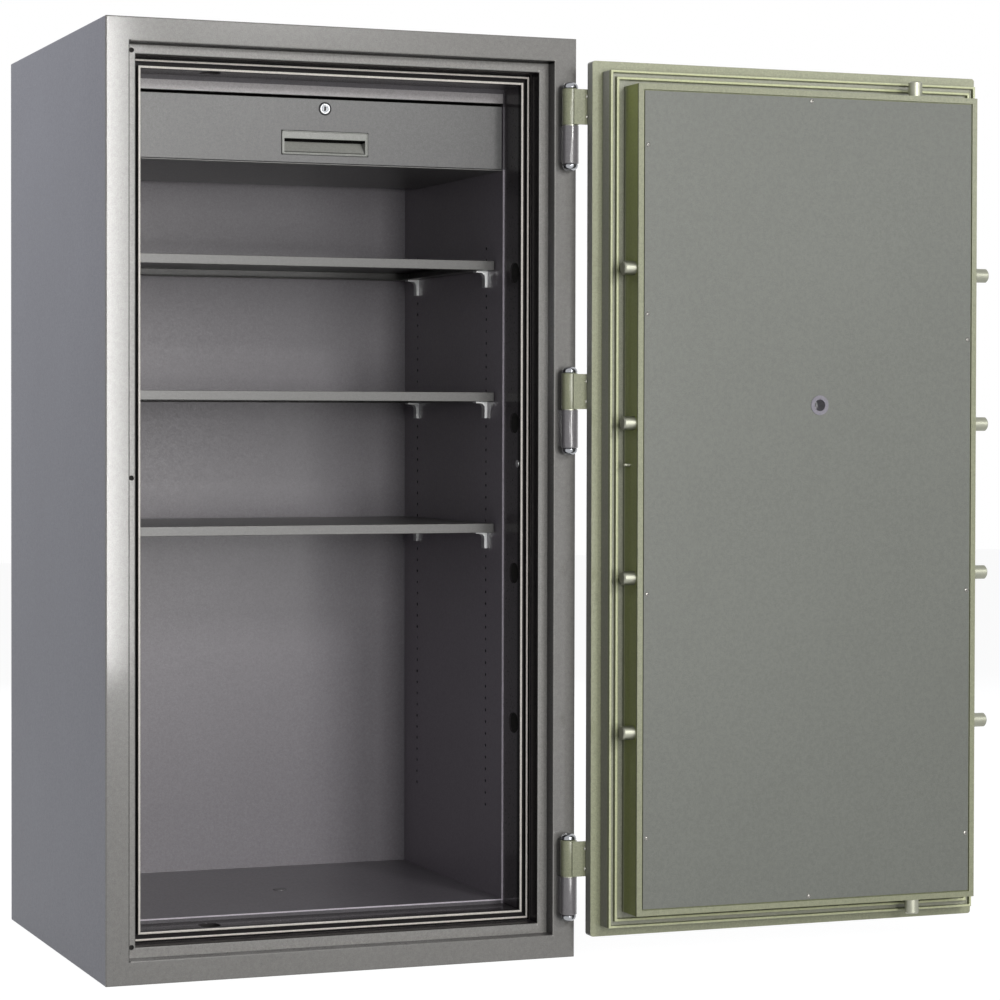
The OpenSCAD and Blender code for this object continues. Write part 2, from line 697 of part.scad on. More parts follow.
// Upper knuckle and the leaf welded on the door's face
module hinge_leaf(zj) {
    z0 = zj + ring_t + axial_gap;
    color(olive) on_door() difference() {
        union() {
            translate([axis_x, axis_y, z0]) cylinder(d = barrel_d, h = knuckle_up - 1.5);
            translate([axis_x, axis_y, z0 + knuckle_up - 1.5])
                cylinder(d1 = barrel_d, d2 = barrel_d - 3, h = 1.5);
            block(door_w / 2 - leaf_l, axis_x, -plate_proud - leaf_t, -plate_proud, z0, z0 + knuckle_up - 1.5);
        }
        translate([axis_x, axis_y, z0 - 1]) cylinder(d = hinge_pin_d + 0.1, h = knuckle_up + 2);
    }
}
module hinge_leaf_top() hinge_leaf(hinge_zs[0]);
module hinge_leaf_middle() hinge_leaf(hinge_zs[1]);
module hinge_leaf_bottom() hinge_leaf(hinge_zs[2]);

module hard_plate() color(dark) on_door() difference() {
    block(-guard_w / 2, guard_w / 2, tray_v, plate_v, case_z - guard_h / 2, case_z + guard_h / 2);
    pin_y(0, dial_z, tray_v - 1, plate_v + 1, dial_pin_d + 2 * run_gap);
}

case_v1 = plate_v + 30;
module lock_case() color(bright) on_door() difference() {
    block(-lock_w / 2, lock_w / 2, plate_v, case_v1, lock_low, lock_low + lock_h);
    pin_y(0, dial_z, plate_v - 1, plate_v + 16, dial_pin_d + 2 * run_gap);
    block(-12.8, 12.8, layer_a - 2.3, layer_a + layer_t + 2.3, lock_low - 1, lock_low + 27.5);
    pin_y(key_x, key_z, case_v1 - 6, case_v1 + 1, 12);
}
module lock_bolt() color("goldenrod") on_door()
    block(-12.5, 12.5, layer_a - 2, layer_a + layer_t + 2, lock_low - 2, lock_low + 27);

module dial_ring() color(bright) on_door() translate([0, yf - plate_proud, dial_z]) rotate([90, 0, 0])
    difference() {
        rotate_extrude() polygon([[5, 0], [dial_d / 2 + 16, 0], [dial_d / 2 + 16, 3],
            [dial_d / 2 + 11, 9], [dial_d / 2 + 1.5, 9], [dial_d / 2 + 1.5, 5], [5, 5]]);
    }

// Skirt, and a fluted grip on it
module dial() color(dark) on_door() translate([0, yf - plate_proud - 5.4, dial_z]) rotate([90, 0, 0])
    difference() {
        union() {
            rotate_extrude() polygon([[0, 0], [dial_d / 2 - 1, 0], [dial_d / 2, 1.5], [dial_d / 2 - 1, 6],
                [dial_d / 4 + 4, 12], [dial_d / 4 + 0.8, 15], [0, 15]]);
            translate([0, 0, 14]) linear_extrude(19) polygon([for (i = [0 : 2 * dial_flutes - 1])
                (dial_d / 4 - (i % 2) * 1.2) * [cos(i * 180 / dial_flutes), sin(i * 180 / dial_flutes)]]);
            rotate_extrude() polygon([[0, 31], [dial_d / 4 - 2, 31], [dial_d / 4 - 2, 33], [dial_d / 4 - 4, 35], [0, 35]]);
        }
        translate([0, 0, -1]) cylinder(d = dial_pin_d + 0.1, h = socket_l + 1);
    }

module dial_spindle() color(bright) on_door()
    pin_y(0, dial_z, -plate_proud - 5.4 - socket_l + 0.3, plate_v + 15, dial_pin_d);

module handle_rose() color(bright) on_door() difference() {
    pin_y(-handle_off, mid_z, -plate_proud - 8, -plate_proud, 62);
    pin_y(-handle_off, mid_z, -plate_proud - 9, 1, spindle_d + 2 * run_gap);
}

// Hub with a socket, and a turned lever that swells towards its end
module handle() color(bright) on_door() difference() {
    union() {
        translate([-handle_off, yf - plate_proud - 8.4, mid_z]) rotate([90, 0, 0])
            rotate_extrude() polygon([[0, 0], [24, 0], [25, 2], [23, 14], [20, 36], [16, 42], [0, 42]]);
        translate([-handle_off, yf - plate_proud - 33, mid_z]) rotate([0, 90, 0])
            rotate_extrude() polygon([[0, 0], for (k = [0 : 12])
                [8.6 - 1.8 * sin(k * 22), k * (lever_l - 8) / 12],
                for (a = [20 : 20 : 80]) [9.5 * cos(a), lever_l - 8 + 8 * sin(a)], [0, lever_l]]);
    }
    pin_y(-handle_off, mid_z, -plate_proud - 8.4 - socket_l, -plate_proud - 8, spindle_d + 0.1);
}

function disc_x(a, r) = -handle_off + r * cos(a);
function disc_z(a, r) = mid_z + r * sin(a);
latch_a = 90 + turn / 2;
hinge_a = 270 + turn / 2;
// Spindle and its disc, whose four pins drive the bolt carriers
module drive_disc() color(bright) on_door() {
    pin_y(-handle_off, mid_z, -plate_proud - 8.1 - socket_l, plate_v, spindle_d);
    pin_y(-handle_off, mid_z, plate_v, plate_v + disc_t, 2 * latch_throw + 16);
    pin_y(disc_x(latch_a, latch_throw), disc_z(latch_a, latch_throw), plate_v, layer_a + layer_t, 2 * pin_r);
    pin_y(disc_x(hinge_a, hinge_throw), disc_z(hinge_a, hinge_throw), plate_v, layer_b + layer_t, 2 * pin_r);
    pin_y(disc_x(turn / 2, end_throw), disc_z(turn / 2, end_throw), plate_v, layer_c + layer_t, 2 * pin_r);
    pin_y(disc_x(180 + turn / 2, end_throw), disc_z(180 + turn / 2, end_throw), plate_v, layer_c + layer_t, 2 * pin_r);
}

slot = pin_r + 0.6;
// Upright bar with a forked arm at the disc and a tie notched for the lock
module latch_bar() color(bright) on_door() difference() {
    union() {
        block(-bar_x - bar_t, -bar_x, layer_a, box_v - 5, bolt_zs[0] - bar_over, bolt_zs[3] + bar_over);
        block(-bar_x - 1, disc_x(latch_a, latch_throw) + 14, layer_a, layer_a + layer_t, mid_z + 18, mid_z + 40);
        block(-bar_x - 1, 20, layer_a, layer_a + layer_t, lock_low - 26, lock_low - 3);
    }
    block(disc_x(latch_a, latch_throw) - slot, disc_x(latch_a, latch_throw) + slot,
        layer_a - 1, layer_a + layer_t + 1, mid_z + 17, mid_z + latch_throw + pin_r + 1);
    block(-13, 13, layer_a - 1, layer_a + layer_t + 1, lock_low - 11, lock_low - 2);
}

module chamfered_bolt(l) {
    translate([0, 0, 0]) cylinder(d = bolt_d, h = l - 2);
    translate([0, 0, l - 2]) cylinder(d1 = bolt_d, d2 = bolt_d - 4, h = 2);
}

module latch_bolts() color(bright) on_door() for (z = bolt_zs)
    translate([-bar_x - bar_t, yf + bolt_v, z]) rotate([0, -90, 0])
        chamfered_bolt(box_x + latch_throw - bar_x - bar_t);

module hinge_bar() color(bright) on_door() difference() {
    x = disc_x(hinge_a, hinge_throw);
    union() {
        block(bar_x, bar_x + bar_t, layer_b, box_v - 5, bolt_zs[0] - bar_over, bolt_zs[3] + bar_over);
        block(x - 11, bar_x + 1, layer_b, layer_b + layer_t, mid_z - 40, mid_z - hinge_throw - 1);
        block(x - 11, x + 11, layer_b, layer_b + layer_t, mid_z - 30, mid_z - 13);
    }
    block(x - slot, x + slot, layer_b - 1, layer_b + layer_t + 1, mid_z - hinge_throw - pin_r - 1, mid_z - 12);
}

module hinge_bolts() color(bright) on_door() for (z = bolt_zs)
    translate([bar_x + bar_t, yf + bolt_v, z]) rotate([0, 90, 0])
        chamfered_bolt(box_x + hinge_throw - bar_x - bar_t);

// Upper and lower bolts on their straps, driven by the disc's side pins
module half_turned() {
    translate([-handle_off, 0, mid_z]) rotate([0, 180, 0]) translate([handle_off, 0, -mid_z]) children();
}
module top_bolt() color(bright) on_door() end_bolt();
module bottom_bolt() color(bright) on_door() half_turned() end_bolt();
module top_strap() color(bright) on_door() end_strap();
module bottom_strap() color(bright) on_door() half_turned() end_strap();
module end_bolt() {
    translate([-handle_off, yf + bolt_v, box_z1 - 60]) chamfered_bolt(end_throw + 60);
}
module end_strap() {
    x = disc_x(turn / 2, end_throw);
    z = disc_z(turn / 2, end_throw);
    difference() {
        union() {
            block(-handle_off + 2, -handle_off + 18, layer_c, layer_c + layer_t, z, box_z1 - 61);
            block(-handle_off + 2, x + 5.5, layer_c, layer_c + layer_t, z - 10.5, z + 10.5);
        }
        block(x - slot - 1, x + 7, layer_c - 1, layer_c + layer_t + 1, z - slot, z + slot);
    }
    block(-handle_off - 8, -handle_off + 18, layer_c, bolt_v + 8, box_z1 - 75, box_z1 - 60);
}

// Blocks that the bars and straps slide on
module bolt_guides() color(grey_green) on_door() {
    for (z = [bolt_zs[0] + guide_off, bolt_zs[3] - guide_off]) {
        block(-bar_x - 28, -bar_x + latch_throw + 8, tray_v, layer_a - axial_gap, z - guide_h / 2, z + guide_h / 2);
        block(bar_x - hinge_throw - 8, bar_x + 28, tray_v, layer_b - axial_gap, z - guide_h / 2, z + guide_h / 2);
    }
    for (s = [-1, 1], z = mid_z + s * (1.5 * bolt_pitch + guide_off + guide_h / 2))
        block(-handle_off + 10 * s - 12, -handle_off + 10 * s + 12, tray_v, layer_c - axial_gap,
            z - guide_h / 2, z + guide_h / 2);
}

trip_x = box_x + trip_out;
module trip_bracket() color(grey_green) on_door() difference() {
    block(bar_x + 18, bar_x + 21, tray_v, trip_v + 8, trip_z - 8, trip_z + 8);
    pin_x(bar_x, bar_x + 30, trip_v, trip_z, trip_d + 2 * run_gap);
}
module trip_pin() color(bright) on_door() {
    pin_x(bar_x + 16, trip_x - 1, trip_v, trip_z, trip_d);
    translate([trip_x - 1, yf + trip_v, trip_z]) rotate([0, 90, 0]) cylinder(d1 = trip_d, d2 = trip_d - 2, h = 1);
    pin_x(box_x - box_t - 3.2, box_x - box_t - 0.2, trip_v, trip_z, trip_d + 5);
}
// As long as the spring is when the pin is pressed
module trip_spring() color(bright) on_door() difference() {
    pin_x(bar_x + 21.3 + trip_give, box_x - box_t - 3.2, trip_v, trip_z, trip_d + 3.5);
    pin_x(bar_x + 20, box_x - box_t - 2, trip_v, trip_z, trip_d + 1.5);
}

module drawer_tray() color(grey_green) difference() {
    block(-tray_x, tray_x, room_v + front_t, tray_back, tray_z0, tray_z1);
    block(-tray_x + drawer_t, tray_x - drawer_t, room_v + front_t + drawer_t, tray_back - drawer_t,
        tray_z0 + drawer_t, tray_z1 + 1);
    block(centre_off - pull_w / 2, centre_off + pull_w / 2, room_v, room_v + front_t + drawer_t + 1,
        pull_z0 - 1, pull_z0 + pull_h + 1);
}

module drawer_front() color(grey_green) difference() {
    block(-room_x + 2, room_x - 2, room_v, room_v + front_t, front_z0, front_z1);
    block(centre_off - pull_w / 2 + 3, centre_off + pull_w / 2 - 3, room_v - 1, room_v + front_t + 1,
        pull_z0 + 3, pull_z0 + pull_h - 3);
    block(centre_off - pull_w / 2, centre_off + pull_w / 2, room_v - 1, room_v + 2, pull_z0, pull_z0 + pull_h);
    pin_y(centre_off, lock_z, room_v - 1, room_v + front_t + 1, 19.2);
}

// Sunk pull: a hood over the finger slot and a sloping back
module drawer_pull() color(steel_front) translate([centre_off, 0, 0]) difference() {
    union() {
        translate([-pull_w / 2 + 0.2, yf + room_v + 2, pull_z0 + 0.2]) rotate([90, 0, 0])
            linear_extrude(2.5) rounded(pull_w - 0.4, pull_h - 0.4, 3);
        block(-pull_w / 2 + 3.2, pull_w / 2 - 3.2, room_v, room_v + front_t + 10,
            pull_z0 + 3.2, pull_z0 + pull_h - 3.2);
    }
    translate([-pull_w / 2 + 5, 0, 0]) rotate([90, 0, 90]) linear_extrude(pull_w - 10)
        polygon([[yf + room_v - 1, pull_z0 + 3.5], [yf + room_v + 1, pull_z0 + 4.8],
            [yf + room_v + front_t + 8, pull_z0 + 24], [yf + room_v + front_t + 8, pull_z0 + pull_h - 5],
            [yf + room_v + 2, pull_z0 + pull_h - 5], [yf + room_v + 2, pull_z0 + pull_h - 13],
            [yf + room_v - 1, pull_z0 + pull_h - 13]]);
}

module drawer_runners() color(bright) both_sides()
    block(tray_x, cab_x - drawer_t - 2.3, cab_v + 10, tray_back - 4,
        runner_z - runner_h / 2 + 2.3, runner_z + runner_h / 2 - 2.3);

module drawer_lock() color(bright) difference() {
    union() {
        pin_y(centre_off, lock_z, room_v - 1.5, room_v, lock_ring_d);
        pin_y(centre_off, lock_z, room_v - 0.5, room_v + front_t + 6, 19);
    }
    pin_y(centre_off, lock_z, room_v - 2, room_v + front_t + 7, 12.1);
}
module drawer_plug() color(bright) difference() {
    pin_y(centre_off, lock_z, room_v - 1, room_v + front_t + 6.3, 12);
    block(centre_off - 0.8, centre_off + 0.8, room_v - 2, room_v + 8, lock_z - 3.5, lock_z + 3.5);
}
module drawer_cam() color(bright) {
    block(centre_off, centre_off + 21, room_v + front_t + 6.3, room_v + front_t + 8.8, lock_z - 5, lock_z + 5);
    for (x = [0, 21]) pin_y(centre_off + x, lock_z, room_v + front_t + 6.3, room_v + front_t + 8.8, 10);
}

outer_shell();
front_frame();
fire_fill();
inner_liner();
side_panels();
drawer_cabinet();
drawer_rail();
cabinet_runners();
shelf_upper();
shelf_middle();
shelf_lower();
shelf_clips();
hinge_lug_top();
hinge_lug_middle();
hinge_lug_bottom();
hinge_pins();
hinge_rings();
hinge_caps_lower();
strike_button();
anchor_plug();
door_plate();
door_tray();
door_fill();
bolt_box();
back_cover();
cover_screws();
key_bush();
hinge_leaf_top();
hinge_leaf_middle();
hinge_leaf_bottom();
hinge_caps_upper();
hard_plate();
lock_case();
dial_ring();
handle_rose();
bolt_guides();
trip_bracket();
latch_bar();
latch_bolts();
hinge_bar();
hinge_bolts();
top_bolt();
top_strap();
bottom_bolt();
bottom_strap();
handle();
drive_disc();
dial();
dial_spindle();
lock_bolt();
trip_pin();
trip_spring();
drawer_tray();
drawer_front();
drawer_pull();
drawer_runners();
drawer_lock();
drawer_plug();
drawer_cam();
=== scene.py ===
import math

import bmesh
import bpy
import numpy as np
from mathutils import Matrix, Vector


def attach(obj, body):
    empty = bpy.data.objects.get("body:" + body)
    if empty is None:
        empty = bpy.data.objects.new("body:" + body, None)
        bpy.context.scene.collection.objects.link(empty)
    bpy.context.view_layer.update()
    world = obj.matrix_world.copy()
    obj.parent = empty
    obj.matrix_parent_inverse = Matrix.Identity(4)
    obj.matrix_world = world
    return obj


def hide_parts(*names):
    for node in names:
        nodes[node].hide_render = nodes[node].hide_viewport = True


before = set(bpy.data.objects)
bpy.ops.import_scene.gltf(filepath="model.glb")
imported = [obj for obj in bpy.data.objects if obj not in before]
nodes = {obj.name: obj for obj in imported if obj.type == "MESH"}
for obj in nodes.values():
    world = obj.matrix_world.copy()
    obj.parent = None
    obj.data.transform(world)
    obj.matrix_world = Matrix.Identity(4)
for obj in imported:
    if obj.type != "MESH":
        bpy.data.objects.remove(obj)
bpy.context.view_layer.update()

scene = bpy.context.scene
print("frame loaded:", len(nodes), "nodes")


def boxOf(name):
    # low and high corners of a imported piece, in mm to three decimals
    mesh = nodes[name].data
    flat = np.empty(len(mesh.vertices) * 3)
    mesh.vertices.foreach_get("co", flat)
    points = flat.reshape(-1, 3) * 1000
    return points.min(0).round(3), points.max(0).round(3)


# planes and lines of the safe that looks and trim are placed by, in mm
pinLow, pinHigh = boxOf("hinge_pins")
hingeX, hingeY = ((pinLow + pinHigh) / 2)[:2]
frameY = boxOf("front_frame")[0][1]
doorY = 2 * hingeY - frameY  # the frame's face plane, carried round by the open door
drawerY = boxOf("drawer_front")[0][1]

cameraView = {
    # fitted to measured corners: metres, degrees, and pixels of a square picture
    "place": (-1.5172, -4.9265, 0.8687),
    "yaw": -21.014,
    "pitch": -0.989,
    "roll": 0.119,
    "focalPixels": 3037.4,
    "centre": (490.17, 478.63),
    "pictureSide": 1000,
    "sensorWidth": 36,
    "clip": (0.05, 60),
}


def makeCamera(view):
    # turns yaw, pitch and roll into the camera's right, up and back directions
    yaw, pitch, roll = (math.radians(view[k]) for k in ("yaw", "pitch", "roll"))
    level = math.cos(pitch)
    ahead = Vector((math.sin(-yaw) * level, math.cos(yaw) * level, math.sin(pitch)))
    right = ahead.cross(Vector((0, 0, 1))).normalized()
    up = right.cross(ahead)
    across = right * math.cos(roll) + up * math.sin(roll)
    upward = up * math.cos(roll) - right * math.sin(roll)
    side = view["pictureSide"]
    data = bpy.data.cameras.new("photoCamera")
    data.sensor_width = view["sensorWidth"]
    data.lens = view["focalPixels"] * view["sensorWidth"] / side
    data.shift_x = (side / 2 - view["centre"][0]) / side
    data.shift_y = (view["centre"][1] - side / 2) / side
    data.clip_start, data.clip_end = view["clip"]
    cam = bpy.data.objects.new("photoCamera", data)
    scene.collection.objects.link(cam)
    turn = Matrix((across, upward, -ahead)).transposed().to_4x4()
    cam.matrix_world = Matrix.Translation(view["place"]) @ turn
    scene.camera = cam


makeCamera(cameraView)
scene.view_settings.view_transform = "Standard"
print("camera set")

stageLook = {
    "floorReach": 14.0,  # metres each way
    "floorColor": (0.22, 0.22, 0.225),
    "floorGlow": 0.93,  # added where the floor is looked at
    "skyColor": (0.90, 0.93, 1.0),
    "skyStrength": 0.12,
    "unmirrored": ("sideLamp", "backLamp"),  # glossy surfaces don't show them
    "lamps": [
        # name, place, aim, width and height, watts, colour
        ("keyLamp", (1.3, -4.9, 2.6), (0.1, -0.3, 0.7), (0.6, 0.6), 70, (1.0, 0.99, 0.97)),
        ("stripLamp", (0.455, -4.95, 1.14), (-0.35, -0.3, 1.14), (0.62, 2.07), 94, (1.0, 0.99, 0.97)),
        ("cameraLamp", (-1.30, -5.2, 1.15), (0.2, -0.3, 0.75), (0.3, 0.3), 22, (1.0, 0.99, 0.98)),
        ("rightLamp", (3.0, -3.4, 1.9), (0.6, -0.4, 0.8), (1.4, 1.4), 18, (1.0, 1.0, 0.98)),
        ("lowLamp", (1.50, -5.0, 0.40), (0.1, -0.3, 0.4), (1.0, 0.6), 22, (1.0, 0.99, 0.98)),
        ("sideLamp", (-2.0, 0.5, 3.0), (-0.39, 0.0, 1.2), (1.6, 1.6), 40, (0.96, 0.97, 1.0)),
        ("backLamp", (1.4, 4.2, 2.4), (0.4, 0.0, 0.8), (2.2, 2.2), 70, (0.97, 0.98, 1.0)),
    ],
}


def mathNode(tree, operation, *values, clamp=False):
    # one step of arithmetic on its values, each a socket or a plain number
    node = tree.nodes.new("ShaderNodeMath")
    node.operation = operation
    node.use_clamp = clamp
    for socket, value in zip(node.inputs, values):
        if isinstance(value, bpy.types.NodeSocket):
            tree.links.new(value, socket)
        else:
            socket.default_value = value
    return node.outputs[0]


def seenWhite(tree):
    # 1 for what the eye, a mirror or clear stuff looks at directly, 0 for light that falls on the object:
    # the greatest of three tests
    rays = tree.nodes.new("ShaderNodeLightPath").outputs
    first = mathNode(tree, "MAXIMUM", rays["Is Camera Ray"], rays["Is Glossy Ray"])
    return mathNode(tree, "MAXIMUM", first, rays["Is Transmission Ray"])


def litOrSeen(tree, lit, seen, output):
    # the first shader sends light to the object, the second is what is looked at
    mix = tree.nodes.new("ShaderNodeMixShader")
    tree.links.new(seenWhite(tree), mix.inputs["Fac"])
    tree.links.new(lit.outputs[0], mix.inputs[1])
    tree.links.new(seen.outputs[0], mix.inputs[2])
    tree.links.new(mix.outputs[0], tree.nodes.new(output).inputs["Surface"])


def makeFloor(look):
    # a square at height 0, matt where it lights the object, matt and glowing where it is looked at
    s = look["floorReach"]
    mesh = bpy.data.meshes.new("floor")
    mesh.from_pydata([(-s, -s, 0), (s, -s, 0), (s, s, 0), (-s, s, 0)], [], [(0, 1, 2, 3)])
    floor = bpy.data.objects.new("floor", mesh)
    scene.collection.objects.link(floor)
    mat = bpy.data.materials.new("floorPale")
    mat.use_nodes = True
    tree = mat.node_tree
    tree.nodes.clear()
    matt = tree.nodes.new("ShaderNodeBsdfDiffuse")
    matt.inputs["Color"].default_value = (*look["floorColor"], 1)
    glow = tree.nodes.new("ShaderNodeEmission")
    glow.inputs["Color"].default_value = (1, 1, 1, 1)
    glow.inputs["Strength"].default_value = look["floorGlow"]
    both = tree.nodes.new("ShaderNodeAddShader")
    tree.links.new(matt.outputs[0], both.inputs[0])
    tree.links.new(glow.outputs[0], both.inputs[1])
    litOrSeen(tree, matt, both, "ShaderNodeOutputMaterial")
    mesh.materials.append(mat)


def makeSky(look):
    # a faint sky lights the object, and white stands behind it
    world = bpy.data.worlds.new("softSky")
    scene.world = world
    world.use_nodes = True
    tree = world.node_tree
    tree.nodes.clear()
    sky = tree.nodes.new("ShaderNodeBackground")
    sky.inputs["Color"].default_value = (*look["skyColor"], 1)
    sky.inputs["Strength"].default_value = look["skyStrength"]
    white = tree.nodes.new("ShaderNodeBackground")
    white.inputs["Color"].default_value = (1, 1, 1, 1)
    litOrSeen(tree, sky, white, "ShaderNodeOutputWorld")


def makeLamps(look):
    # each lamp is a glowing rectangle turned to its aim
    for name, place, aim, size, watts, color in look["lamps"]:
        data = bpy.data.lights.new(name, "AREA")
        data.shape = "RECTANGLE"
        data.size, data.size_y = size
        data.energy = watts
        data.color = color
        lamp = bpy.data.objects.new(name, data)
        scene.collection.objects.link(lamp)
        lamp.visible_glossy = name not in look["unmirrored"]
        lamp.location = place
        lamp.rotation_euler = (Vector(aim) - Vector(place)).to_track_quat("-Z", "Y").to_euler()


makeFloor(stageLook)
makeSky(stageLook)
makeLamps(stageLook)
print("stage set")

# paints: colour, roughness, width of the orange peel in mm and how much it shows, mottle, clear coat;
# shine is the specular level, coatRough the coat's roughness, deep the peel's depth in mm
paintUsual = dict(peel=2.5, mottle=0.03, coat=0.1, shine=0.45, coatRough=0.18, deep=0.5)
paintLooks = {
    "sidePaint": dict(color=(0.235, 0.238, 0.282), rough=0.38, peel=3.5, height=0.35, coat=0.0, shine=0.12),
    "framePaint": dict(color=(0.180, 0.176, 0.168), rough=0.30, peel=4.5, height=1.0, mottle=0.02, coat=0.95,
                       coatRough=0.09, deep=0.12, shine=0.15, layers="jamb"),
    "lugPaint": dict(color=(0.165, 0.158, 0.167), rough=0.20, peel=3.0, height=0.25, mottle=0.02, coat=0.5),
    "linerPaint": dict(color=(0.150, 0.140, 0.157), rough=0.40, height=0.25, mottle=0.04),
    "wallPaint": dict(color=(0.262, 0.236, 0.271), rough=0.42, height=0.22, mottle=0.04),
    "shelfPaint": dict(color=(0.085, 0.084, 0.081), rough=0.34, height=0.20),
    "cabinetPaint": dict(color=(0.100, 0.099, 0.096), rough=0.34, height=0.20),
    "railPaint": dict(color=(0.230, 0.218, 0.224), rough=0.36, height=0.20),
    "drawerPaint": dict(color=(0.117, 0.117, 0.118), rough=0.34, height=0.18, shine=0.28),
    "pullPaint": dict(color=(0.183, 0.189, 0.173), rough=0.32, peel=2.0, height=0.12, mottle=0.02, coat=0.2,
                      layers="pull"),
    "doorPaint": dict(color=(0.262, 0.274, 0.180), rough=0.32, peel=3.5, height=0.30, mottle=0.02, coat=0.2,
                      layers="door"),
    "leafPaint": dict(color=(0.250, 0.262, 0.170), rough=0.30, peel=3.0, height=0.25, mottle=0.02, coat=0.2),
    "coverPaint": dict(color=(0.140, 0.148, 0.132), rough=0.44, peel=3.0, height=0.28, mottle=0.02,
                       coat=0.05),
    "keyRingPaint": dict(color=(0.200, 0.190, 0.225), rough=0.40, peel=1.4, height=0.10),
    "plugPaint": dict(color=(0.110, 0.105, 0.112), rough=0.45, peel=1.8, height=0.15, mottle=0.05),
}
untouched = (1.0, 1.0, 1.0)
# painted shade and painted highlights from front to back, with the door's front in its own grey: depth in mm
# behind a plane, then a factor for the colour
toneAndPaintedLightLayers = {
    "jamb": dict(zero=frameY, way=1.0, reach=140.0, stops=[
        (0.0, untouched), (1.6, untouched),  # face
        (3.0, (0.46, 0.44, 0.46)), (27.0, (0.30, 0.29, 0.30)),  # wall of the recess, painted shade
        (27.7, (1.40, 1.40, 1.40)), (28.2, (1.40, 1.40, 1.40)),  # seat, painted light
        (28.6, (0.10, 0.09, 0.10)), (62.0, (0.22, 0.20, 0.24)),  # wall of the step, painted shade
        (62.9, (3.4, 3.3, 3.2)), (63.5, (3.4, 3.3, 3.2)),  # noses of the ribs, painted highlight
        (64.1, (0.22, 0.20, 0.22)), (70.0, (0.08, 0.08, 0.09)), (73.0, (0.12, 0.11, 0.12)),  # grooves, painted shade
        (80.0, (0.42, 0.39, 0.43)), (138.0, (0.46, 0.42, 0.47)),  # throat, painted shade
    ]),
    "door": dict(zero=doorY, way=-1.0, reach=110.0, stops=[
        (0.0, (0.70, 0.66, 0.94)), (0.8, (0.70, 0.66, 0.94)),  # front
        (1.8, (1.15, 1.12, 1.5)), (18.5, (1.05, 1.02, 1.4)),  # edge of the plate, painted light
        (19.5, (1.15, 1.15, 1.15)), (20.6, (1.15, 1.15, 1.15)),  # flange, painted light
        (21.6, (1.0, 0.94, 1.35)), (45.5, (0.95, 0.90, 1.30)),  # wall of the step, painted light
        (46.3, (1.10, 1.08, 1.28)), (47.3, (1.10, 1.08, 1.28)),  # floors of the groove and the channel, painted light
        (48.5, (0.75, 0.78, 0.65)), (53.4, (0.75, 0.78, 0.65)),  # sides of the ribs, painted shade
        (54.4, (2.1, 2.1, 2.0)), (55.2, (2.1, 2.1, 2.0)),  # noses of the ribs, painted highlight
        (56.5, (0.86, 0.94, 0.38)), (101.0, (0.86, 0.94, 0.38)),  # side of the bolt box, painted shade
        (103.5, (0.45, 0.48, 0.30)), (105.0, untouched), (108.0, untouched),  # painted shade under the rim, rim
    ]),
    "pull": dict(zero=drawerY - 1.5, way=1.0, reach=30.0, stops=[
        (0.0, untouched), (1.8, untouched), (2.4, (0.6, 0.6, 0.6)),  # rim and its painted shade
        (4.0, (1.9, 1.86, 1.9)), (30.0, (1.9, 1.86, 1.9)),  # pocket, painted light
    ]),
}
# boxes in mm where shade (factor below 1) or a highlight (above 1) is painted: span in x, in y and in z, then
# a factor for the colour
paintedLightSpots = {
    "framePaint": [
        ((-355.6, -352), (-346, -342), (36, 1464), 0.30),  # painted shade on the face's inner edge, latch side
        ((353, 355.6), (-346, -342), (36, 1464), 1.6),  # painted highlight on the same edge, hinge side
        ((336.6, 339.2), (-317.5, -315.5), (50, 1450), 1.65),  # painted highlight on the seat's inner edge, hinge side
        ((-400, 400), (-343.5, -316), (1460.3, 1466), 0.25),  # painted shade on the ceiling of the recess
        ((-400, 400), (-270, -205), (68, 73.5), 0.50),  # painted shade on the floor of the throat
    ],
    "linerPaint": [
        ((317.8, 400), (-190, 400), (0, 1500), 0.03),  # painted shade behind the perforated wall, hinge side
        ((-400, -317.8), (-190, 400), (0, 1500), 0.03),  # the same, latch side
        ((316.5, 324.5), (-209.5, -205), (70, 1295.5), 3.6),  # painted highlight on the front edge beside the hinge side wall
        ((-316.5, 316.5), (-209.5, -205), (76.8, 79.5), 3.0),  # painted highlight on the front edge of the floor
        ((-330, 330), (-209.5, -205), (0, 76.7), 0.5),  # painted shade on what stands below that edge
        ((-330, 330), (-209.5, -205), (1400, 1500), 0.45),  # painted shade on what stands above the drawer
    ],
    "wallPaint": [
        ((317.8, 400), (-400, 400), (0, 1500), 0.02),  # painted shade inside the clip holes, hinge side
        ((-400, -317.8), (-400, 400), (0, 1500), 0.02),  # the same, latch side
    ],
    "cabinetPaint": [((-400, 400), (-400, 400), (1295.5, 1500), 0.12)],  # painted shade on all but its underside
    "railPaint": [((-400, 400), (-300, 400), (1403, 1405.2), 0.02)],  # the line of shade over the drawer
    "drawerPaint": [((-400, 400), (-300, 400), (1399.6, 1402), 0.02)],  # the same, on the drawer
    "pullPaint": [((-100, 100), (-206.2, 0), (1331.2, 1360), 0.02)],  # painted shade on the roof of the pocket
}
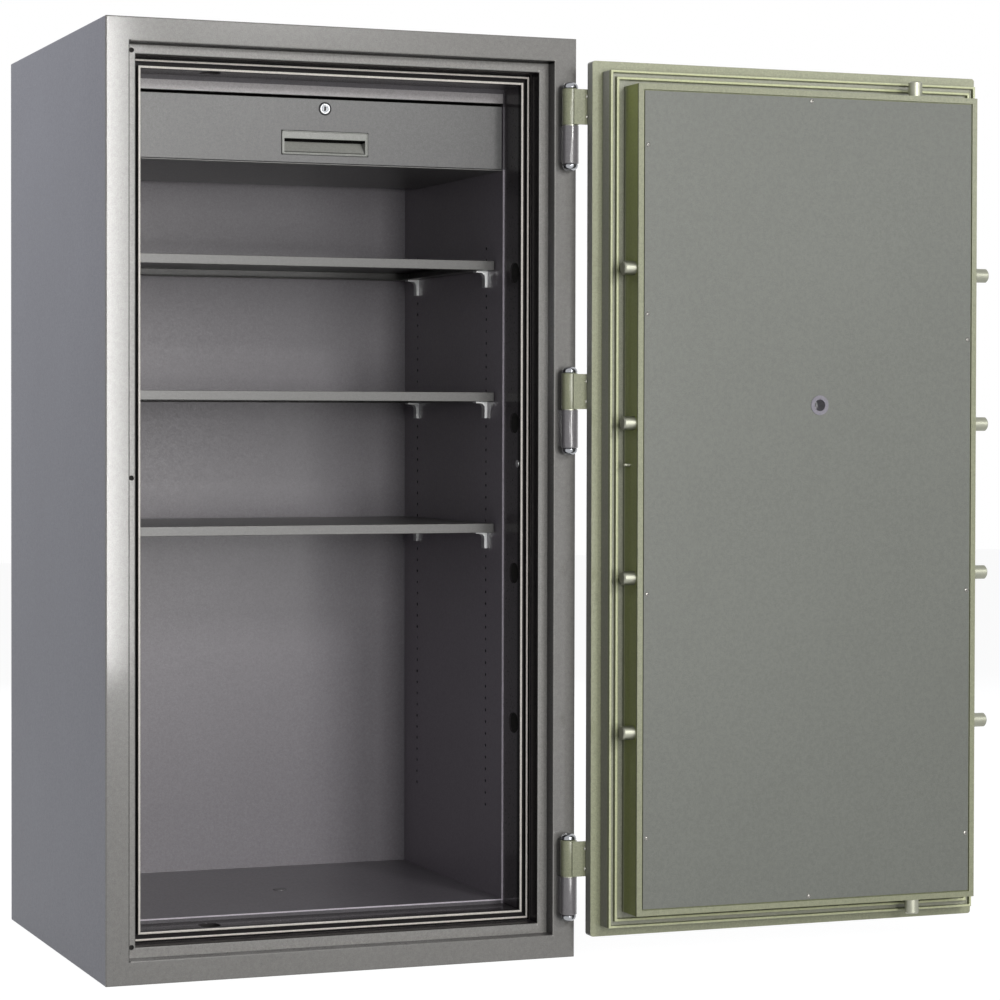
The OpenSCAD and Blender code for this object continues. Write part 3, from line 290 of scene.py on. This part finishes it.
metalLooks = {
    # colour, roughness, height of the fine scratches
    "zincPlate": dict(color=(0.66, 0.67, 0.67), rough=0.36, scratch=0.22),
    "millSteel": dict(color=(0.36, 0.36, 0.37), rough=0.42, scratch=0.30),
    # olive tint: painted reflection of the olive door round the bolts
    "boltSteel": dict(color=(0.32, 0.325, 0.265), rough=0.40, scratch=0.18),
    # the chromes are greyed to stand in for a dark room in their reflections: painted reflection
    "capChrome": dict(color=(0.36, 0.37, 0.39), rough=0.12, scratch=0.04),
    "ringChrome": dict(color=(0.40, 0.41, 0.42), rough=0.30, scratch=0.05),
    "screwZinc": dict(color=(0.24, 0.235, 0.22), rough=0.22, scratch=0.05),
    "satinNickel": dict(color=(0.300, 0.300, 0.295), rough=0.46, scratch=0.12),
    "yellowBrass": dict(color=(0.62, 0.46, 0.20), rough=0.32, scratch=0.15),
    "weldSteel": dict(color=(0.52, 0.52, 0.47), rough=0.34, scratch=0.10),
}
plainLooks = {
    # colour, roughness, how much the speckle is raised, and its scale per metre
    # near black so that bores through the fill look dark: painted shade
    "pouredFill": dict(color=(0.016, 0.015, 0.014), rough=0.95, raised=0.5, scale=120.0),
    "blackDial": dict(color=(0.025, 0.025, 0.028), rough=0.28, raised=0.05, scale=400.0),
    "blackRubber": dict(color=(0.018, 0.018, 0.020), rough=0.6, raised=0.10, scale=400.0),
    "markWhite": dict(color=(0.72, 0.72, 0.70), rough=0.45, raised=0.03, scale=400.0),
}
grainLooks = {
    # noises as scale per metre, detail and roughness; swings as the least and the greatest factor
    "mottle": (5.0, 3.0, 0.5),
    "patch": (190.0, 3.0, 0.6), "patchSwing": (0.90, 1.06),
    "speck": (620.0, 2.0, 0.7), "speckSwing": (0.80, 1.08),
    "sheen": (260.0, 2.0, 0.6), "sheenSwing": 0.04,
    "peelDetail": (2.0, 0.45), "grainShare": 0.8,
    # metal: level scratches, because the noise is squeezed along z
    "scratch": (160.0, 3.0, 0.6), "squeeze": (1.0, 1.0, 18.0), "scratchDeep": 0.2,
    "tone": (30.0, 3.0, 0.6), "toneSwing": (0.90, 1.06), "metalRough": (-0.06, 0.08),
    # moulded and poured stuff
    "plainDetail": (4.0, 0.6), "plainSwing": (0.86, 1.1), "plainDeep": 0.4,
    # the stretch of a noise that a swing covers
    "wideStretch": (0.3, 0.7), "shortStretch": (0.35, 0.65),
}


def newMaterial(name):
    # an empty material, its node tree and shader, and the place on the object that patterns read
    mat = bpy.data.materials.new(name)
    mat.use_nodes = True
    tree = mat.node_tree
    place = tree.nodes.new("ShaderNodeTexCoord").outputs["Object"]
    return mat, tree, tree.nodes["Principled BSDF"], place


def noiseNode(tree, source, scale, detail, rough):
    # a soft random pattern from 0 to 1
    node = tree.nodes.new("ShaderNodeTexNoise")
    node.inputs["Scale"].default_value = scale
    node.inputs["Detail"].default_value = detail
    node.inputs["Roughness"].default_value = rough
    tree.links.new(source, node.inputs["Vector"])
    return node.outputs["Fac"]


def rampNode(tree, source, stops):
    # turns a value into a colour by way of the stops, each a value and its colour
    node = tree.nodes.new("ShaderNodeValToRGB")
    ramp = node.color_ramp
    for element, (spot, color) in zip(ramp.elements, (stops[0], stops[-1])):
        element.position = spot
        element.color = (*color, 1)
    for spot, color in stops[1:-1]:
        ramp.elements.new(spot).color = (*color, 1)
    tree.links.new(source, node.inputs["Fac"])
    return node.outputs["Color"]


def grey(value):
    return value, value, value


def shade(color, k):
    # the colour x k, each channel kept to 1 at most
    return tuple(min(1.0, c * k) for c in color)


def swing(tree, source, stretch, low, high):
    # from the low colour to the high one over the middle stretch of the noise
    return rampNode(tree, source, list(zip(grainLooks[stretch], (low, high))))


def multiplied(tree, first, second, amount):
    # first x second, mixed in by the amount
    mix = tree.nodes.new("ShaderNodeMix")
    mix.data_type = "RGBA"
    mix.blend_type = "MULTIPLY"
    mix.inputs["Factor"].default_value = amount
    tree.links.new(first, mix.inputs["A"])
    tree.links.new(second, mix.inputs["B"])
    return mix.outputs["Result"]


def addBump(tree, shader, height, strength, deep):
    # leans the surface by the slope of the height, which is deep mm at most
    bump = tree.nodes.new("ShaderNodeBump")
    bump.inputs["Strength"].default_value = strength
    bump.inputs["Distance"].default_value = deep / 1000
    tree.links.new(height, bump.inputs["Height"])
    tree.links.new(bump.outputs["Normal"], shader.inputs["Normal"])


def splitPlace(tree, place):
    # x, y and z of the place, each as a socket
    split = tree.nodes.new("ShaderNodeSeparateXYZ")
    tree.links.new(place, split.inputs[0])
    return split.outputs


def layered(tree, place, layer):
    # depth = way (y - zero), and the ramp turns it into a factor: painted shade on walls and grooves, painted
    # highlights on noses
    depth = tree.nodes.new("ShaderNodeMapRange")
    depth.inputs["From Min"].default_value = layer["zero"] / 1000
    depth.inputs["From Max"].default_value = (layer["zero"] + layer["way"] * layer["reach"]) / 1000
    tree.links.new(splitPlace(tree, place)[1], depth.inputs["Value"])
    return rampNode(tree, depth.outputs[0], [(v / layer["reach"], color) for v, color in layer["stops"]])


def within(tree, place, spans):
    # 1 where x, y and z each lie in their span, else 0: three tests |value - middle| <= half, multiplied
    tests = [mathNode(tree, "COMPARE", value, (low + high) / 2000, (high - low) / 2000)
             for value, (low, high) in zip(splitPlace(tree, place), spans)]
    return mathNode(tree, "MULTIPLY", mathNode(tree, "MULTIPLY", *tests[:2]), tests[2])


def paintMasks(tree, place, name, look):
    # one factor for the painted-light layers, and one for each spot of painted shade or highlight
    masks = []
    if "layers" in look:
        masks.append(layered(tree, place, toneAndPaintedLightLayers[look["layers"]]))
    for *spans, factor in paintedLightSpots.get(name, []):
        masks.append(rampNode(tree, within(tree, place, spans), [(0.0, untouched), (1.0, grey(factor))]))
    return masks


def makePaint(name, look):
    # sprayed enamel: colour x mottle x patches x specks x painted shade and highlights, with orange peel in
    # the bump
    look = {**paintUsual, **look}
    grain = grainLooks
    mat, tree, shader, place = newMaterial(name)
    least, most = (shade(look["color"], 1 + way * look["mottle"]) for way in (-1, 1))
    color = swing(tree, noiseNode(tree, place, *grain["mottle"]), "wideStretch", least, most)
    for kind in ("patch", "speck"):
        noise = noiseNode(tree, place, *grain[kind])
        swung = swing(tree, noise, "shortStretch", *map(grey, grain[kind + "Swing"]))
        color = multiplied(tree, color, swung, grain["grainShare"])
    masks = paintMasks(tree, place, name, look)
    for mask in masks:
        color = multiplied(tree, color, mask, 1.0)
    tree.links.new(color, shader.inputs["Base Color"])
    sheen = noiseNode(tree, place, *grain["sheen"])
    ends = (grey(look["rough"] + way * grain["sheenSwing"]) for way in (-1, 1))
    tree.links.new(swing(tree, sheen, "wideStretch", *ends), shader.inputs["Roughness"])
    peel = noiseNode(tree, place, 1000.0 / look["peel"], *grain["peelDetail"])
    addBump(tree, shader, peel, look["height"], look["deep"])
    shader.inputs["Coat Roughness"].default_value = look["coatRough"]
    for socket, amount in (("Specular IOR Level", look["shine"]), ("Coat Weight", look["coat"])):
        # where shade is painted, the shine is dimmed too: the amount x the masks' product, which is kept to 1
        # at most
        shader.inputs[socket].default_value = amount
        level = 1.0
        for mask in masks:
            level = mathNode(tree, "MULTIPLY", mask, level, clamp=True)
        if masks:
            tree.links.new(mathNode(tree, "MULTIPLY", level, amount), shader.inputs[socket])
    return mat


def makeMetal(name, look):
    # fine scratches in the roughness and the bump, over a slow change of tone
    grain = grainLooks
    mat, tree, shader, place = newMaterial(name)
    shader.inputs["Metallic"].default_value = 1.0
    squeezed = tree.nodes.new("ShaderNodeMapping")
    squeezed.inputs["Scale"].default_value = grain["squeeze"]
    tree.links.new(place, squeezed.inputs["Vector"])
    scratch = noiseNode(tree, squeezed.outputs["Vector"], *grain["scratch"])
    ends = (shade(look["color"], k) for k in grain["toneSwing"])
    tone = swing(tree, noiseNode(tree, place, *grain["tone"]), "wideStretch", *ends)
    tree.links.new(tone, shader.inputs["Base Color"])
    ends = (grey(look["rough"] + more) for more in grain["metalRough"])
    tree.links.new(swing(tree, scratch, "wideStretch", *ends), shader.inputs["Roughness"])
    addBump(tree, shader, scratch, look["scratch"], grain["scratchDeep"])
    return mat


def makePlain(name, look):
    # moulded or poured stuff: speckled colour and a matching bump
    grain = grainLooks
    mat, tree, shader, place = newMaterial(name)
    speck = noiseNode(tree, place, look["scale"], *grain["plainDetail"])
    ends = (shade(look["color"], k) for k in grain["plainSwing"])
    tree.links.new(swing(tree, speck, "shortStretch", *ends), shader.inputs["Base Color"])
    shader.inputs["Roughness"].default_value = look["rough"]
    addBump(tree, shader, speck, look["raised"], grain["plainDeep"])
    return mat


finish = {name: makePaint(name, look) for name, look in paintLooks.items()}
finish.update({name: makeMetal(name, look) for name, look in metalLooks.items()})
finish.update({name: makePlain(name, look) for name, look in plainLooks.items()})
print("finishes made:", len(finish))

nodeFinish = {
    "sidePaint": ["outer_shell"],
    "framePaint": ["front_frame"],
    "lugPaint": ["hinge_lug_top", "hinge_lug_middle", "hinge_lug_bottom"],
    "linerPaint": ["inner_liner"],
    "wallPaint": ["side_panels"],
    "shelfPaint": ["shelf_upper", "shelf_middle", "shelf_lower"],
    "cabinetPaint": ["drawer_cabinet"],
    "railPaint": ["drawer_rail"],
    "drawerPaint": ["drawer_front", "drawer_tray"],
    "pullPaint": ["drawer_pull"],
    "doorPaint": ["door_plate", "door_tray", "bolt_box"],
    "leafPaint": ["hinge_leaf_top", "hinge_leaf_middle", "hinge_leaf_bottom"],
    "coverPaint": ["back_cover"],
    "keyRingPaint": ["key_bush"],
    "plugPaint": ["anchor_plug"],
    "zincPlate": ["cabinet_runners", "drawer_runners", "shelf_clips", "drawer_cam", "cover_screws",
                  "strike_button"],
    "millSteel": ["hinge_pins", "hard_plate", "bolt_guides", "trip_bracket", "trip_spring", "lock_case",
                  "latch_bar", "hinge_bar", "top_strap", "bottom_strap", "drive_disc", "dial_spindle"],
    "boltSteel": ["latch_bolts", "hinge_bolts", "top_bolt", "bottom_bolt", "trip_pin", "hinge_rings"],
    "capChrome": ["hinge_caps_lower", "hinge_caps_upper", "drawer_plug"],
    "ringChrome": ["drawer_lock"],
    "satinNickel": ["dial_ring", "handle_rose", "handle"],
    "yellowBrass": ["lock_bolt"],
    "pouredFill": ["fire_fill", "door_fill"],
    "blackDial": ["dial"],
}


def dressNodes():
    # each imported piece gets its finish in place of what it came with
    for look, names in nodeFinish.items():
        for name in names:
            slots = nodes[name].data.materials
            slots.clear()
            slots.append(finish[look])
    left = set(nodes) - {n for names in nodeFinish.values() for n in names}
    print("nodes without a finish:", sorted(left))


dressNodes()

edgeRounds = {
    # radius in mm of bent sheet and machined corners
    "outer_shell": 1.4, "front_frame": 1.2, "door_plate": 2.0, "door_tray": 1.0, "bolt_box": 1.4,
    "back_cover": 0.6, "shelf_upper": 0.8, "shelf_middle": 0.8, "shelf_lower": 0.8,
    "drawer_front": 0.8, "drawer_pull": 0.6, "drawer_cabinet": 0.7, "inner_liner": 0.8,
    "hinge_lug_top": 0.8, "hinge_lug_middle": 0.8, "hinge_lug_bottom": 0.8,
    "hinge_leaf_top": 1.0, "hinge_leaf_middle": 1.0, "hinge_leaf_bottom": 1.0,
    "shelf_clips": 0.3, "drawer_tray": 0.4,
}
edgeSizes = {
    "joined": 0.02,  # mm between corners that become one
    "flat": 0.5,  # degrees below which an edge isn't there
    "corner": 40,  # degrees above which an edge is rounded
    "steps": 3,
}


def roundEdges(obj, radius, size):
    # joins the loose triangles, clears the flat faces of diagonals, then rounds what is left
    weld = obj.modifiers.new("weld", "WELD")
    weld.merge_threshold = size["joined"] / 1000
    flat = obj.modifiers.new("flat", "DECIMATE")
    flat.decimate_type = "DISSOLVE"
    flat.angle_limit = math.radians(size["flat"])
    bevel = obj.modifiers.new("edges", "BEVEL")
    bevel.width = radius / 1000
    bevel.segments = size["steps"]
    bevel.limit_method = "ANGLE"
    bevel.angle_limit = math.radians(size["corner"])
    bevel.use_clamp_overlap = True
    bevel.harden_normals = False


for name, radius in edgeRounds.items():
    roundEdges(nodes[name], radius, edgeSizes)
print("edges rounded:", len(edgeRounds))

# new pieces: each is one or more grids of points in metres, with a mark for each way that closes on itself


def revolved(profile, spot, axis, count=48):
    # each profile point (r, h) in mm turns about the axis: spot + r (cos u A + sin u B) + h N
    profile = np.asarray(profile, float) / 1000
    n = np.asarray(axis, float)
    a = np.cross(n, (0.31, 0.57, 0.76))  # with any direction that isn't the axis
    a /= np.linalg.norm(a)
    b = np.cross(n, a)
    u = np.linspace(0, 2 * math.pi, count, endpoint=False)
    ring = np.cos(u)[:, None] * a + np.sin(u)[:, None] * b
    grid = np.asarray(spot, float) / 1000 + profile[None, :, :1] * ring[:, None, :] + profile[None, :, 1:] * n
    return grid, True, False


def rounded(x0, x1, z0, z1, r, steps=8):
    # a rectangle's outline with quarter circles at its corners, anticlockwise, in mm
    t = np.linspace(0, math.pi / 2, steps)
    corners = [(x1 - r, z1 - r, 0), (x0 + r, z1 - r, 1), (x0 + r, z0 + r, 2), (x1 - r, z0 + r, 3)]
    return np.concatenate([np.c_[x + r * np.cos(t + k * math.pi / 2), z + r * np.sin(t + k * math.pi / 2)]
                           for x, z, k in corners])


def bead(line, y, radius, lift, count=12):
    # a rounded bar carried along a closed line at depth y, all in mm:
    # line + radius (cos v across + lift sin v towards the front)
    path = np.c_[line[:, 0], np.full(len(line), y), line[:, 1]]
    along = np.roll(path, -1, 0) - np.roll(path, 1, 0)
    along /= np.linalg.norm(along, axis=1)[:, None]
    across = np.cross(along, (0, 1, 0))
    v = np.linspace(0, 2 * math.pi, count, endpoint=False)
    front = lift * np.sin(v)[None, :, None] * np.array((0, -1, 0))
    section = np.cos(v)[None, :, None] * across[:, None, :] + front
    return (path[:, None, :] + radius * section) / 1000, True, True


def crossHead(spot, size, turn, rings=16, count=64):
    # a low dome, h = rise (1 - (r/R)^2), less a cross-shaped dip whose walls slope in
    r = np.linspace(0, size["radius"], rings)[None, :]
    u = np.linspace(0, 2 * math.pi, count, endpoint=False)[:, None]
    x, z = r * np.cos(u), r * np.sin(u)
    arm = np.minimum(np.abs(x), np.abs(z))
    beside = np.clip((size["arm"] - arm) / size["armSlope"], 0, 1)
    beyond = np.clip((size["reach"] - r) / size["endSlope"], 0, 1)
    h = size["edge"] + size["rise"] * (1 - (r / size["radius"]) ** 2) - size["dip"] * (beside * beyond)
    c, s = math.cos(turn), math.sin(turn)
    grid = np.stack([spot[0] + c * x - s * z, spot[1] - h, spot[2] + s * x + c * z], -1)
    skirt = grid[:, -1:, :].copy()
    skirt[..., 1] = spot[1]
    return np.concatenate([grid, skirt], 1) / 1000, True, False


def blob(spot, size, ripple=0.08, steps=(20, 14)):
    # a weld tack: an ellipsoid whose radius ripples a little, r = 1 + ripple sin 3u sin 4v
    u = np.linspace(0, 2 * math.pi, steps[0], endpoint=False)[:, None]
    v = np.linspace(-math.pi / 2, math.pi / 2, steps[1])[None, :]
    k = 1 + ripple * np.sin(3 * u + spot[2]) * np.sin(4 * v)
    ball = np.stack([k * np.cos(u) * np.cos(v), k * np.sin(u) * np.cos(v), k * np.sin(v) + 0 * u], -1)
    return (np.asarray(spot, float) + ball * np.asarray(size, float)) / 1000, True, False


def makePiece(name, parts, body, look, instead=(), smooth=True):
    # joins the grids, closes their seams and poles, and turns every face outwards
    seam, sliver = 1e-7, 1e-8
    points, faces, start = [], [], 0
    for grid, wrapU, wrapV in parts:
        n, m = grid.shape[:2]
        ids = np.arange(n * m).reshape(n, m) + start
        ids = np.concatenate([ids, ids[:1]]) if wrapU else ids
        ids = np.concatenate([ids, ids[:, :1]], 1) if wrapV else ids
        faces.append(np.stack([ids[:-1, :-1], ids[1:, :-1], ids[1:, 1:], ids[:-1, 1:]], -1).reshape(-1, 4))
        points.append(grid.reshape(-1, 3))
        start += n * m
    mesh = bpy.data.meshes.new(name)
    mesh.from_pydata(np.concatenate(points).tolist(), [], np.concatenate(faces).tolist())
    shape = bmesh.new()
    shape.from_mesh(mesh)
    bmesh.ops.remove_doubles(shape, verts=shape.verts, dist=seam)
    bmesh.ops.dissolve_degenerate(shape, edges=shape.edges, dist=sliver)
    bmesh.ops.holes_fill(shape, edges=[e for e in shape.edges if e.is_boundary], sides=0)
    bmesh.ops.recalc_face_normals(shape, faces=shape.faces)
    shape.to_mesh(mesh)
    shape.free()
    mesh.polygons.foreach_set("use_smooth", np.full(len(mesh.polygons), smooth))
    piece = bpy.data.objects.new(name, mesh)
    scene.collection.objects.link(piece)
    mesh.materials.append(finish[look])
    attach(piece, body)
    if instead:
        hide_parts(*instead)


hingeSizes = {
    # millimetres: heights of the three joints, knuckles, caps, weld tacks
    "joints": (1356.0, 895.0, 135.0),
    "knuckleLow": 62.0, "knuckleUp": 60.2,
    "capRadius": 12.6, "capHeight": 11.0,
    "neckIn": 1.2, "neckHeight": 0.7, "shoulder": (1.0, 2.6), "domeIn": 0.4, "domeFrom": 3.4,
    "tackAt": (14.0, 47.0), "tackSize": (1.25, 1.9, 3.0), "tackBeside": 1.7,
}


def capProfile(size, steps=14):
    # a short neck, a rounded shoulder, and a quarter ellipse up to the crown
    r, neck, base = size["capRadius"], size["capRadius"] - size["neckIn"], size["domeFrom"]
    low, high = size["shoulder"]
    t = np.linspace(0, math.pi / 2, steps)
    dome = np.c_[(r - size["domeIn"]) * np.cos(t), base + (size["capHeight"] - base) * np.sin(t)]
    return np.concatenate([[(0, 0), (neck, 0), (neck, size["neckHeight"]), (r, low), (r, high)], dome])


def makeHingeTrim(size):
    # a turned cap at each end of the three hinges, and tacks beside the door's edge where the leaves meet it
    profile = capProfile(size)
    lower = [revolved(profile, (hingeX, hingeY, z - size["knuckleLow"]), (0, 0, -1)) for z in size["joints"]]
    upper = [revolved(profile, (hingeX, hingeY, z + size["knuckleUp"]), (0, 0, 1)) for z in size["joints"]]
    tackX = boxOf("door_plate")[0][0] - size["tackBeside"]
    tacks = [blob((tackX, doorY, z + up), size["tackSize"]) for z in size["joints"] for up in size["tackAt"]]
    makePiece("lowerCaps", lower, "safe", "capChrome", ["hinge_caps_lower"])
    makePiece("upperCaps", upper, "door", "capChrome", ["hinge_caps_upper"])
    makePiece("leafTacks", tacks, "door", "weldSteel")


makeHingeTrim(hingeSizes)
print("hinge trim made")

screwSizes = {
    # millimetres: dome and cross of a head, its distance from the cover's edge, and heights on the two sides
    "radius": 3.7, "edge": 0.3, "rise": 1.4,
    "arm": 0.55, "armSlope": 0.25, "reach": 2.1, "endSlope": 0.5, "dip": 0.9,
    "inset": 5.5, "hingeHeights": (209.5, 600.5, 1048.5, 1318.5), "farHeights": (191.5, 597.5, 1014.5),
    "turn": (0.4, 0.7),  # radians: the first cross, and each one more
}


def makeCoverScrews(size):
    # down both sides of the cover, and one in the middle of each end
    low, high = boxOf("back_cover")
    inset, face, middle = size["inset"], low[1], (low[0] + high[0]) / 2
    spots = [(low[0] + inset, face, z) for z in size["hingeHeights"]]
    spots += [(high[0] - inset, face, z) for z in size["farHeights"]]
    spots += [(middle, face, z) for z in (low[2] + inset, high[2] - inset)]
    first, more = size["turn"]
    heads = [crossHead(spot, size, first + more * k) for k, spot in enumerate(spots)]
    makePiece("coverScrewHeads", heads, "door", "screwZinc", ["cover_screws"])


makeCoverScrews(screwSizes)
print("cover screws made")

drawerSizes = {
    # millimetres; the ring and the gasket are outlines of (radius, height) round the lock
    "lockX": 6.5, "lockZ": 1384.5, "lockSteps": 64,
    "ring": [(6.05, 0.0), (6.05, 1.35), (6.3, 1.6), (8.0, 1.6), (8.3, 1.35), (8.3, 0.0), (6.05, 0.0)],
    "gasket": [(8.3, 0.0), (8.3, 1.30), (8.6, 1.34), (10.6, 0.5), (10.9, 0.0), (8.3, 0.0)],
    "keywayWide": 1.0, "keywayHigh": 3.1, "keywayCorner": 0.6, "keywayOut": 1.0,
    "keywayBead": (0.7, 0.35), "pullBead": (1.0, 0.75),  # radius, and lift as a share of it
    "pullCorner": 3.0, "pullOut": 0.6,
}


def makeDrawerTrim(size):
    # a flat bright ring with a dark sloping collar round it, a black bead of painted shade round the keyway,
    # and a bead round the pull
    x, y, z = size["lockX"], drawerY, size["lockZ"]
    ring, gasket = (revolved(size[k], (x, y, z), (0, -1, 0), size["lockSteps"]) for k in ("ring", "gasket"))
    makePiece("lockRing", [ring], "drawer", "ringChrome", ["drawer_lock"])
    makePiece("lockGasket", [gasket], "drawer", "blackRubber")
    # the keyway's black bead stands in for the slot's shade: painted shade
    wide, high = size["keywayWide"], size["keywayHigh"]
    line = rounded(x - wide, x + wide, z - high, z + high, size["keywayCorner"])
    edge = bead(line, y - size["keywayOut"], *size["keywayBead"])
    makePiece("keywayPaintedShade", [edge], "drawer_lock_set", "blackRubber")
    low, high = boxOf("drawer_pull")
    inset = size["pullBead"][0]
    line = rounded(low[0] + inset, high[0] - inset, low[2] + inset, high[2] - inset, size["pullCorner"])
    rim = bead(line, y - size["pullOut"], *size["pullBead"])
    makePiece("pullBead", [rim], "drawer", "pullPaint")


makeDrawerTrim(drawerSizes)
print("drawer trim made")

dialSizes = {
    # millimetres: the dial's cone from (radius, height) low to high, its ticks and numbers, the ring's index
    "low": (37.0, 6.0), "high": (23.0, 12.0), "divisions": 100,
    "tickWide": 0.32, "tickThick": 0.06, "tenWider": 1.5,
    "tickFrom": 36.4, "tickTo": 34.4, "fiveTo": 33.4, "tenTo": 32.4,
    "numberAt": 28.2, "numberHeight": 5.2, "numberThick": 0.08,
    "indexFrom": 40.2, "indexTip": 0.35, "indexSunk": 0.1, "indexRaised": 0.12,
    "indexMarks": ((0.0, 1.3, 48.0), (-0.20, 0.4, 45.0), (0.20, 0.4, 45.0)),  # radians, half width, end
}
ringLow, ringHigh = boxOf("dial_ring")
dialX, ringY, dialZ = (ringLow[0] + ringHigh[0]) / 2, ringHigh[1], (ringLow[2] + ringHigh[2]) / 2
dialY = boxOf("dial")[0][1]


def onCone(size, turn, across, out, lift):
    # a point of the dial's cone, whose height falls evenly with the radius:
    # turn clockwise from the top, across it and out from its axis
    (r0, h0), (r1, h1) = size["low"], size["high"]
    h = h0 + (r0 - out) * (h1 - h0) / (r0 - r1) + lift
    x = out * -np.sin(turn) - across * np.cos(turn)
    z = out * np.cos(turn) - across * np.sin(turn)
    return np.stack(np.broadcast_arrays(dialX + x, dialY + h, dialZ + z), -1) / 1000


def makeDialMarks(size):
    # a tick for each division: a thin closed strip laid on the cone, longer at fives and tens
    parts = []
    thick = size["tickThick"]
    for k in range(size["divisions"]):
        end = size["tenTo"] if k % 10 == 0 else size["fiveTo"] if k % 5 == 0 else size["tickTo"]
        wide = size["tickWide"] * (size["tenWider"] if k % 10 == 0 else 1.0)
        out = np.array([size["tickFrom"], end])[:, None]
        across = np.array([-wide, wide, wide, -wide])[None, :]
        lift = np.array([-thick, -thick, thick, thick])[None, :]
        parts.append((onCone(size, k * 2 * math.pi / size["divisions"], across, out, lift), False, True))
    makePiece("dialTicks", parts, "dial_set", "markWhite", smooth=False)


def makeDialNumbers(size):
    # each number is set as type, made a mesh, then laid on the cone point by point
    for ten in range(0, size["divisions"], 10):
        words = bpy.data.curves.new("dialNumber%02d" % ten, "FONT")
        words.body = str(ten)
        words.size = size["numberHeight"]
        words.align_x, words.align_y = "CENTER", "CENTER"
        words.extrude = size["numberThick"]
        source = bpy.data.objects.new("dialNumberType", words)
        scene.collection.objects.link(source)
        bpy.context.view_layer.update()
        mesh = bpy.data.meshes.new_from_object(source.evaluated_get(bpy.context.evaluated_depsgraph_get()))
        bpy.data.objects.remove(source)
        flat = np.empty(len(mesh.vertices) * 3)
        mesh.vertices.foreach_get("co", flat)
        flat = flat.reshape(-1, 3)
        turn = ten * 2 * math.pi / size["divisions"]
        laid = onCone(size, turn, flat[:, 0], size["numberAt"] + flat[:, 1], flat[:, 2])
        mesh.vertices.foreach_set("co", laid.reshape(-1))
        mesh.update()
        mesh.materials.clear()
        mesh.materials.append(finish["markWhite"])
        number = bpy.data.objects.new("dialNumber%02d" % ten, mesh)
        scene.collection.objects.link(number)
        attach(number, "dial_set")


def makeDialIndex(size):
    # a wedge on the ring's flat, its point at the dial, and two smaller lines beside it
    parts = []
    sunk, raised = size["indexSunk"], size["indexRaised"]
    for side, wide, end in size["indexMarks"]:
        out = np.array([size["indexFrom"], end])[:, None]
        half = np.array([size["indexTip"], wide])[:, None] * np.array([-1, 1, 1, -1])[None, :]
        lift = np.array([-sunk, -sunk, raised, raised])[None, :]
        c, s = math.cos(side), math.sin(side)
        x, y, z = dialX + s * out + c * half, ringY + lift, dialZ + c * out - s * half
        parts.append((np.stack(np.broadcast_arrays(x, y, z), -1) / 1000, False, True))
    makePiece("dialIndex", parts, "door", "blackRubber", smooth=False)


makeDialMarks(dialSizes)
makeDialNumbers(dialSizes)
makeDialIndex(dialSizes)
print("dial marked")
